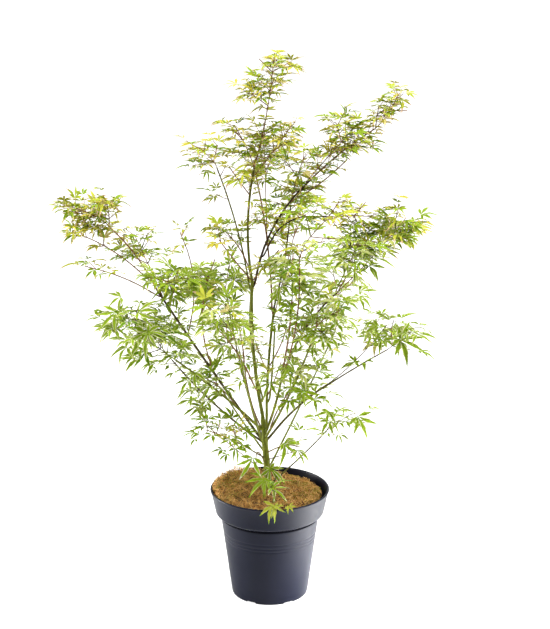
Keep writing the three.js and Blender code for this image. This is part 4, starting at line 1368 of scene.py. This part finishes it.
# %% Openings of sky in the crown
SKY_GAPS = [
    ((140, 60, 691), (23, 70, 20)), ((63, 0, 586), (26, 200, 20)), ((150, 20, 499), (38, 220, 38)),
    ((184, 0, 475), (29, 190, 14)), ((215, 0, 469), (30, 120, 14)), ((-208, 0, 511), (34, 130, 19)),
    ((-284, 0, 528), (22, 100, 22)), ((-243, 0, 514), (18, 90, 12)), ((-124, 30, 547), (15, 150, 16)),
    ((-86, -100, 455), (24, 140, 24)), ((-46, -100, 424), (20, 140, 24)), ((-45, -100, 452), (18, 90, 20)),
    ((219, 0, 637), (22, 80, 18)), ((-51, 0, 867), (22, 80, 19)), ((-17, 0, 874), (16, 60, 20)),
    ((67, 0, 263), (22, 120, 22)), ((-98, -40, 272), (30, 80, 14)), ((57, -40, 234), (18, 60, 16)),
    ((-12, 0, 587), (16, 150, 19)), ((188, 0, 386), (39, 130, 18)), ((-252, -60, 438), (32, 110, 24)),
    ((31, 0, 886), (30, 60, 14)), ((60, 40, 745), (20, 90, 26)), ((-52, 60, 330), (14, 120, 16)),
    ((-85, -40, 556), (30, 180, 20)), ((-47, -40, 556), (16, 120, 14)), ((-239, 0, 665), (14, 60, 12)),
    ((-210, 0, 631), (17, 80, 13)), ((27, 60, 657), (9, 80, 7)), ((64, 20, 778), (18, 120, 18)),
    ((23, 20, 787), (16, 80, 14)), ((-71, 0, 856), (10, 60, 10)), ((-87, 0, 750), (15, 80, 17)),
    ((99, 40, 659), (14, 120, 14)), ((75, -110, 650), (24, 84, 12)), ((33, -110, 638), (26, 84, 13)),
    ((-11, -60, 450), (16, 120, 17)), ((-169, -40, 403), (18, 120, 13)), ((106, 0, 349), (18, 140, 16)),
    ((-160, 0, 596), (21, 100, 9)), ((21, -60, 252), (21, 50, 12)), ((-46, -60, 230), (15, 40, 23)),
    ((47, -60, 217), (22, 60, 19)), ((53, 0, 859), (7, 40, 7)), ((220, 80, 777), (15, 60, 22)),
    ((-48, 0, 705), (14, 60, 13)), ((-45, 0, 655), (16, 60, 14)), ((-280, 0, 585), (16, 60, 11)),
    ((-241, 0, 584), (11, 60, 9)), ((-184, -40, 381), (24, 100, 14)), ((31, 0, 822), (11, 60, 11)),
    ((142, 80, 805), (12, 60, 9)), ((-216, -40, 363), (24, 90, 19)), ((12, -100, 612), (18, 76, 18)),
    ((-81, 0, 328), (15, 120, 14)), ((26, 0, 430), (11, 140, 14)), ((148, 20, 652), (28, 120, 17)),
    ((-48, 0, 625), (22, 100, 16)), ((2, 0, 888), (14, 60, 12)),
]
gap_middles = np.array([gap[0] for gap in SKY_GAPS], float)
gap_halves = np.array([gap[1] for gap in SKY_GAPS], float)


def in_gap(place):
    return bool((np.linalg.norm((place - gap_middles) / gap_halves, axis=1) < 1).any())


print(len(SKY_GAPS), "openings in the crown")

# %% [markdown]
# What grows at a place depends on the place, so a small site object answers for it: how old a leaf
# there is, how closely leaves may stand, and whether a point is still within reach. The plain kind of
# site is a limb, with leaves of one age. A mass is a site with a rounded space of its own: its leaves
# are older inside and below, and it is bare underneath, as a spray carries its leaves in the light.

# %% Sites for leaves
REACH = 1.08
PROUD = 8
OLDER = {"inside": 0.2, "even_at": 0.6, "below": 0.14}
box_low, box_high = np.array(cad_low) / MM - PROUD, np.array(cad_high) / MM + PROUD


class LimbSite:
    def __init__(self, base_age, full=1):
        self.base_age, self.full = base_age, full

    def older(self, place):
        """How much older than the site's own age a leaf at this place is."""
        return 0

    def age(self, place, draw):
        return min(max(self.base_age + self.older(place) + draw.uniform(-0.1, 0.14), 0), 1)

    def in_reach(self, place):
        return clear_of_pot(place) and not in_gap(place)


class MassSite(LimbSite):
    def __init__(self, space):
        self.space, (age, full, self.lowest) = space, MASSES[space][6:]
        super().__init__(age, full)

    def older(self, place):
        offset = space_offset(self.space, place)
        inside = OLDER["even_at"] - np.linalg.norm(offset)
        return OLDER["inside"] * inside - OLDER["below"] * offset[2]

    def in_reach(self, place):
        offset = space_offset(self.space, place)
        return offset[2] > self.lowest and np.linalg.norm(offset) < REACH and super().in_reach(place)


# %% [markdown]
# A place for a leaf is taken only if it is free: a grid of small cells remembers the leaves that are
# there already, so the crown fills evenly instead of in clumps, and the sky shows between. A leaf that
# would cut into the pot's wall is left out too.

# %% Room for leaves
BLADE = {"young": 22, "grown": 39, "room_at": 0.3, "middle": 0.55}
STALK = {"young": 7, "grown": 14, "radius": 0.34, "rise": 0.08, "into_blade": 0.5}
POSE = {
    "steepness": 0.3, "young_hang": 0.0, "grown_hang": 0.16, "hang_swing": 0.14, "young_tilt": 0.14,
    "grown_tilt": 0.22,
}
CELL = 16
LEAF_ROOM = {"young": 5.4, "grown": 14}
RIM_CLEAR = {"radius": 80, "height": 182}
GROWN_FROM = 0.4
PIECE_FACES = 90000
taken = {}


def is_free(place, room):
    cell = tuple(int(v // CELL) for v in place)
    for step in np.ndindex(3, 3, 3):
        near = tuple(c + s - 1 for c, s in zip(cell, step))
        if any(math.dist(place, other) < room for other in taken.get(near, ())):
            return False
    taken.setdefault(cell, []).append(tuple(place))
    return True


# %% Adding blades and tubes to the joined pieces
def kind_piece(kind):
    """The joined mesh that the next small part of this kind goes into."""
    if not pieces[kind] or len(pieces[kind][-1].faces) > PIECE_FACES:
        pieces[kind].append(Joined())
    return pieces[kind][-1]


def axes_of(along, normal):
    side = unit(np.cross(normal, along))
    return np.array([along, side, np.cross(along, side)])


def blade_axes(heading, age, draw):
    hang = lerp(POSE["young_hang"], POSE["grown_hang"], age) + draw.gauss(0, POSE["hang_swing"])
    tilt = lerp(POSE["young_tilt"], POSE["grown_tilt"], age)
    level = unit(vec((heading[0], heading[1], POSE["steepness"] * heading[2])))
    along = unit(level - UP * hang)
    return axes_of(along, UP + vec([draw.gauss(0, tilt), draw.gauss(0, tilt), 0]))


def add_blade(kind, leaf, points, colours):
    slots = np.array([LEAF_SLOT[colour] for colour in colours])
    kind_piece(kind).add(points, leaf["faces"], slots[leaf["kinds"]].tolist())


def add_tube(kind, line, radii, sides, bark):
    kind_piece(kind).add(*tube_parts(line, radii, sides), bark)


def cuts_pot(points):
    low = points[:, 2] < RIM_CLEAR["height"]
    return bool((low & (np.hypot(points[:, 0], points[:, 1]) > RIM_CLEAR["radius"])).any())


# %% Placing one leaf with its stalk
def place_leaf(root, heading, age, full, draw):
    """A stalk from the root and a blade at its end, hanging more the older the leaf."""
    kind, leaves = ("leaves_grown", grown_leaves) if age > GROWN_FROM else ("leaves_young", young_leaves)
    blade = lerp(BLADE["young"], BLADE["grown"], age) * draw.uniform(0.72, 1.15)
    stalk = lerp(STALK["young"], STALK["grown"], age) * draw.uniform(0.7, 1.3)
    heading = unit(heading)
    base = root + heading * stalk
    room = lerp(LEAF_ROOM["young"], LEAF_ROOM["grown"], age) / full
    if not is_free(base + heading * BLADE["room_at"] * blade, room):
        return
    axes = blade_axes(heading, age, draw)
    tip = base + blade * axes[0]
    if in_gap(base + BLADE["middle"] * blade * axes[0]) or (tip < box_low).any() or (tip > box_high).any():
        return
    leaf = draw.choice(leaves)
    points = base + blade * (leaf["points"] @ axes)
    if cuts_pot(points):
        return
    add_blade(kind, leaf, points, palette_for(age, draw))
    line = [root, (root + base) / 2 + UP * STALK["rise"] * stalk, base + axes[0] * STALK["into_blade"]]
    add_tube("leaf_stalks", line, STALK["radius"] * vec((1, 0.8, 0.7)), 3, twig_bark(age, draw))


# %% [markdown]
# From here the rule of the solids is carried on. Along every stem and twig of a mass, nodes follow
# each other closely. A node bears a pair, turned a quarter turn from the pair before, and each of the
# two is a leaf or a short shoot with a few pairs of its own. Young shoots point up a little and old
# ones arch down.

# %% Pairs along a line
FINE = {
    "spacing": 11, "shoot_spacing": 8, "shoot_share": 0.42, "shortest": 13, "longest": 28, "look_ahead": 16,
}
SHOOT_RADII = (0.7, 0.62, 0.52, 0.4)


def twig_bark(age, draw):
    """Which bark a twig of this age wears: red when young, olive or brown when old."""
    return RED_BARK if age < draw.uniform(0.2, 0.65) else draw.choice((OLIVE_BARK, BROWN_BARK))


def pair_headings(along, i, draw):
    level = unit(np.cross(UP, along + vec([0.001, 0, 0])))
    steep = np.cross(along, level)
    turn = i % 2 * (math.pi / 2) + draw.uniform(-0.5, 0.5)
    for hand in (1, -1):
        forward = along * draw.uniform(0.4, 0.7)
        yield unit(forward + level * hand * math.cos(turn) + steep * hand * math.sin(turn) * 0.7)


def grow_pairs(line, site, spacing, shoots, draw, first):
    length = np.linalg.norm(np.diff(line, axis=0), axis=1).sum() * (1 - first)
    count = max(int(length * site.full**0.5 / spacing), 1)
    for i in range(count):
        point, along = line_point(line, first + (1 - first) * (i + 0.6) / count)
        for heading in pair_headings(along, i, draw):
            if not site.in_reach(point + heading * FINE["look_ahead"]):
                continue
            if shoots and draw.random() < FINE["shoot_share"]:
                grow_shoot(point, heading, site, draw)
            else:
                place_leaf(point, heading, site.age(point, draw), site.full, draw)


def grow_shoot(root, heading, site, draw):
    """A short side shoot with pairs along it and a leaf at its tip."""
    length = draw.uniform(FINE["shortest"], FINE["longest"])
    lift = lerp(0.25, -0.25, site.base_age)
    tip = root + unit(heading + UP * lift) * length
    if not site.in_reach(tip):
        return
    line = bent_route(root, root + heading * length * 0.5, tip, 3)
    age = site.age(tip, draw)
    add_tube("twiglets", line, SHOOT_RADII, 4, twig_bark(age, draw))
    place_leaf(tip, unit(tip - line[-2]) + UP * 0.1, age, site.full, draw)
    grow_pairs(line, site, FINE["shoot_spacing"], False, draw, first=0.25)


# %% Growing the whole crown
SPARSE = 0.3
LINE_STEP = 6


def draw_twigs(mass, age, draw):
    """The stem and twigs that the solids have, with a little sag. Gives their lines back."""
    stem_line, thick = smooth_line(mass.stem["curve"], mass.stem["radii"], LINE_STEP)
    add_tube("twigs", stem_line, thick, 5, twig_bark(age, draw))
    lines = [stem_line]
    for twig in mass.twigs:
        start, end = twig["curve"]
        middle = (start + end) / 2 + vec([draw.uniform(-1, 1), draw.uniform(-1, 1), -0.6])
        line = bent_route(start, middle, end, 4)
        add_tube("twigs", line, np.linspace(*twig["radii"], 5), 5, twig_bark(age, draw))
        lines.append(line)
    return lines


def dress_mass(mass, draw):
    site = MassSite(mass.stem["space"])
    lines = draw_twigs(mass, site.base_age, draw)
    if site.full > SPARSE:
        for leaf in mass.leaves:
            grow_shoot(leaf["root"], leaf["along"], site, draw)
    for line in lines[1:]:
        grow_pairs(line, site, FINE["spacing"], True, draw, first=0.2)
        end_heading = unit(line[-1] - line[-2])
        place_leaf(line[-1], end_heading, site.age(line[-1], draw), site.full, draw)
    grow_pairs(lines[0], site, FINE["spacing"], True, draw, first=0.15)


def dress_limb(name, first, spacing, age, draw):
    limb = limb_called(name)
    line, _ = smooth_line(limb["curve"], limb["radii"], LINE_STEP)
    grow_pairs(line, LimbSite(age), spacing, True, draw, first=first)
    if name in side_stems:
        place_leaf(line[-1], unit(line[-1] - line[-2]), age, 1, draw)


# %% [markdown]
# A few large leaves stand out so clearly that the eye knows them one by one: those over the coir and
# the pot's rim, the two big stars low on the right, and the long hanging ones at the left. They are
# placed one by one. A row names the stem that bears the leaf, where its stalk ends, where its middle
# lobe ends, how far the blade faces the front instead of the sky, and its colours.

# %% Leaves placed one by one
SHOWN_COLOURS = {
    "green": ("leaf_mid", "margin_cream", "leaf_mid"),
    "fresh": ("leaf_bright", "margin_lime", "leaf_mid"),
    "cream": ("leaf_bright", "margin_cream", "margin_cream"),
    "lime": ("leaf_bright", "margin_cream", "leaf_lime"),
    "rim": ("leaf_lime", "margin_lime", "leaf_bright"),
}
SHOWN_LEAVES = [
    ("sucker", (-26, -50, 247), (-40, -62, 213), 0.5, "cream"),
    ("leaves_front", (1, -30, 221), (19, -46, 196), 0.6, "green"),
    ("leaves_front", (-10, -40, 210), (-32, -62, 186), 0.5, "fresh"),
    ("leaves_front", (-7, -44, 208), (-12, -66, 187), 0.6, "fresh"),
    ("leaves_front", (4, -58, 200), (30, -74, 187), 0.4, "cream"),
    ("leaves_front", (5, -95, 186), (-9, -112, 163), 0.5, "rim"),
    ("leaves_front", (8, -95, 185), (14, -108, 168), 0.6, "rim"),
    ("leaves_front", (29, -94, 184), (40, -108, 178), 0.5, "rim"),
    ("low_right_shoot", (22, -44, 269), (53, -60, 249), 0.3, "lime"),
    ("low_right_shoot", (21, -46, 267), (38, -56, 260), 0.3, "fresh"),
    ("stem_d", (51, -70, 363), (71, -88, 345), 0.8, "fresh"),
    ("stem_d", (53, -68, 361), (30, -82, 364), 0.7, "fresh"),
    ("stem_d", (55, -70, 372), (70, -84, 384), 0.5, "green"),
    ("leaves_low_right_fan", (97, 110, 267), (87, 88, 252), 0.6, "green"),
    ("leaves_low_right_fan", (144, 100, 262), (164, 86, 229), 0.6, "green"),
    ("stem_h", (-108, 60, 295), (-130, 44, 284), 0.5, "green"),
    ("stem_h", (-106, 58, 294), (-112, 46, 275), 0.6, "green"),
    ("leaves_left_low_out", (-223, -70, 512), (-245, -84, 509), 0.5, "green"),
    ("leaves_left_low_out", (-231, -80, 492), (-257, -94, 466), 0.6, "lime"),
    ("leaves_left_low_out", (-184, -90, 462), (-212, -106, 426), 0.5, "green"),
    ("leaves_left_low_out", (-182, -92, 463), (-150, -106, 455), 0.5, "green"),
    ("leaves_left_low_out", (-197, -88, 494), (-165, -104, 503), 0.5, "green"),
    ("leaves_low_right_tip", (199, -50, 439), (246, -62, 424), 0.5, "green"),
    ("leaves_low_right_tip", (196, -54, 437), (211, -66, 418), 0.5, "green"),
]


# %% Placing a listed leaf
SHOWN_STALK = {"rise": 0.2, "root_radius": 0.55, "tip_radius": 0.4, "steps": 4, "line_step": 3}
bearers = {**limbs, **side_stems, **{stem["name"]: stem for stem in stems}}


def show_leaf(name, base, tip, face, colours, draw):
    base, tip = vec(base), vec(tip)
    line, _ = smooth_line(bearers[name]["curve"], bearers[name]["radii"], SHOWN_STALK["line_step"])
    root = line[np.linalg.norm(line - base, axis=1).argmin()]
    along = unit(tip - base)
    leaf = draw.choice(grown_leaves)
    axes = axes_of(along, UP * (1 - face) + vec([0, -face, 0]))
    points = base + np.linalg.norm(tip - base) * (leaf["points"] @ axes)
    add_blade("leaves_grown", leaf, points, SHOWN_COLOURS[colours])
    middle = (root + base) / 2 + UP * SHOWN_STALK["rise"] * np.linalg.norm(base - root)
    stalk = bent_route(root, middle, base + along * STALK["into_blade"], SHOWN_STALK["steps"])
    radii = np.linspace(SHOWN_STALK["root_radius"], SHOWN_STALK["tip_radius"], len(stalk))
    add_tube("leaf_stalks", stalk, radii, 4, OLIVE_BARK)
    is_free(base + 0.4 * (tip - base), 1)  # takes the place, so that no other leaf grows there


pieces = {kind: [] for kind in ("leaves_young", "leaves_grown", "leaf_stalks", "twiglets", "twigs")}
shown_draw = random.Random(23)
for shown_row in SHOWN_LEAVES:
    show_leaf(*shown_row, shown_draw)
print(len(SHOWN_LEAVES), "leaves placed by hand")

# %% All the leaves of the crown
crown_draw = random.Random(17)
for mass in masses:
    dress_mass(mass, crown_draw)
for limb_name, habit in LEAFY_LIMBS.items():
    dress_limb(limb_name, *habit, crown_draw)

for kind, joined_list in pieces.items():
    foliage = kind.startswith("leaves")
    for i, joined in enumerate(joined_list):
        materials = leaf_materials if foliage else [*barks.values()]
        joined.make(f"{kind}_{i + 1}", materials, "foliage" if foliage else "bark")
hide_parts(*(row[0] for row in MASSES))
print(sum(len(cell) for cell in taken.values()), "places for leaves taken")
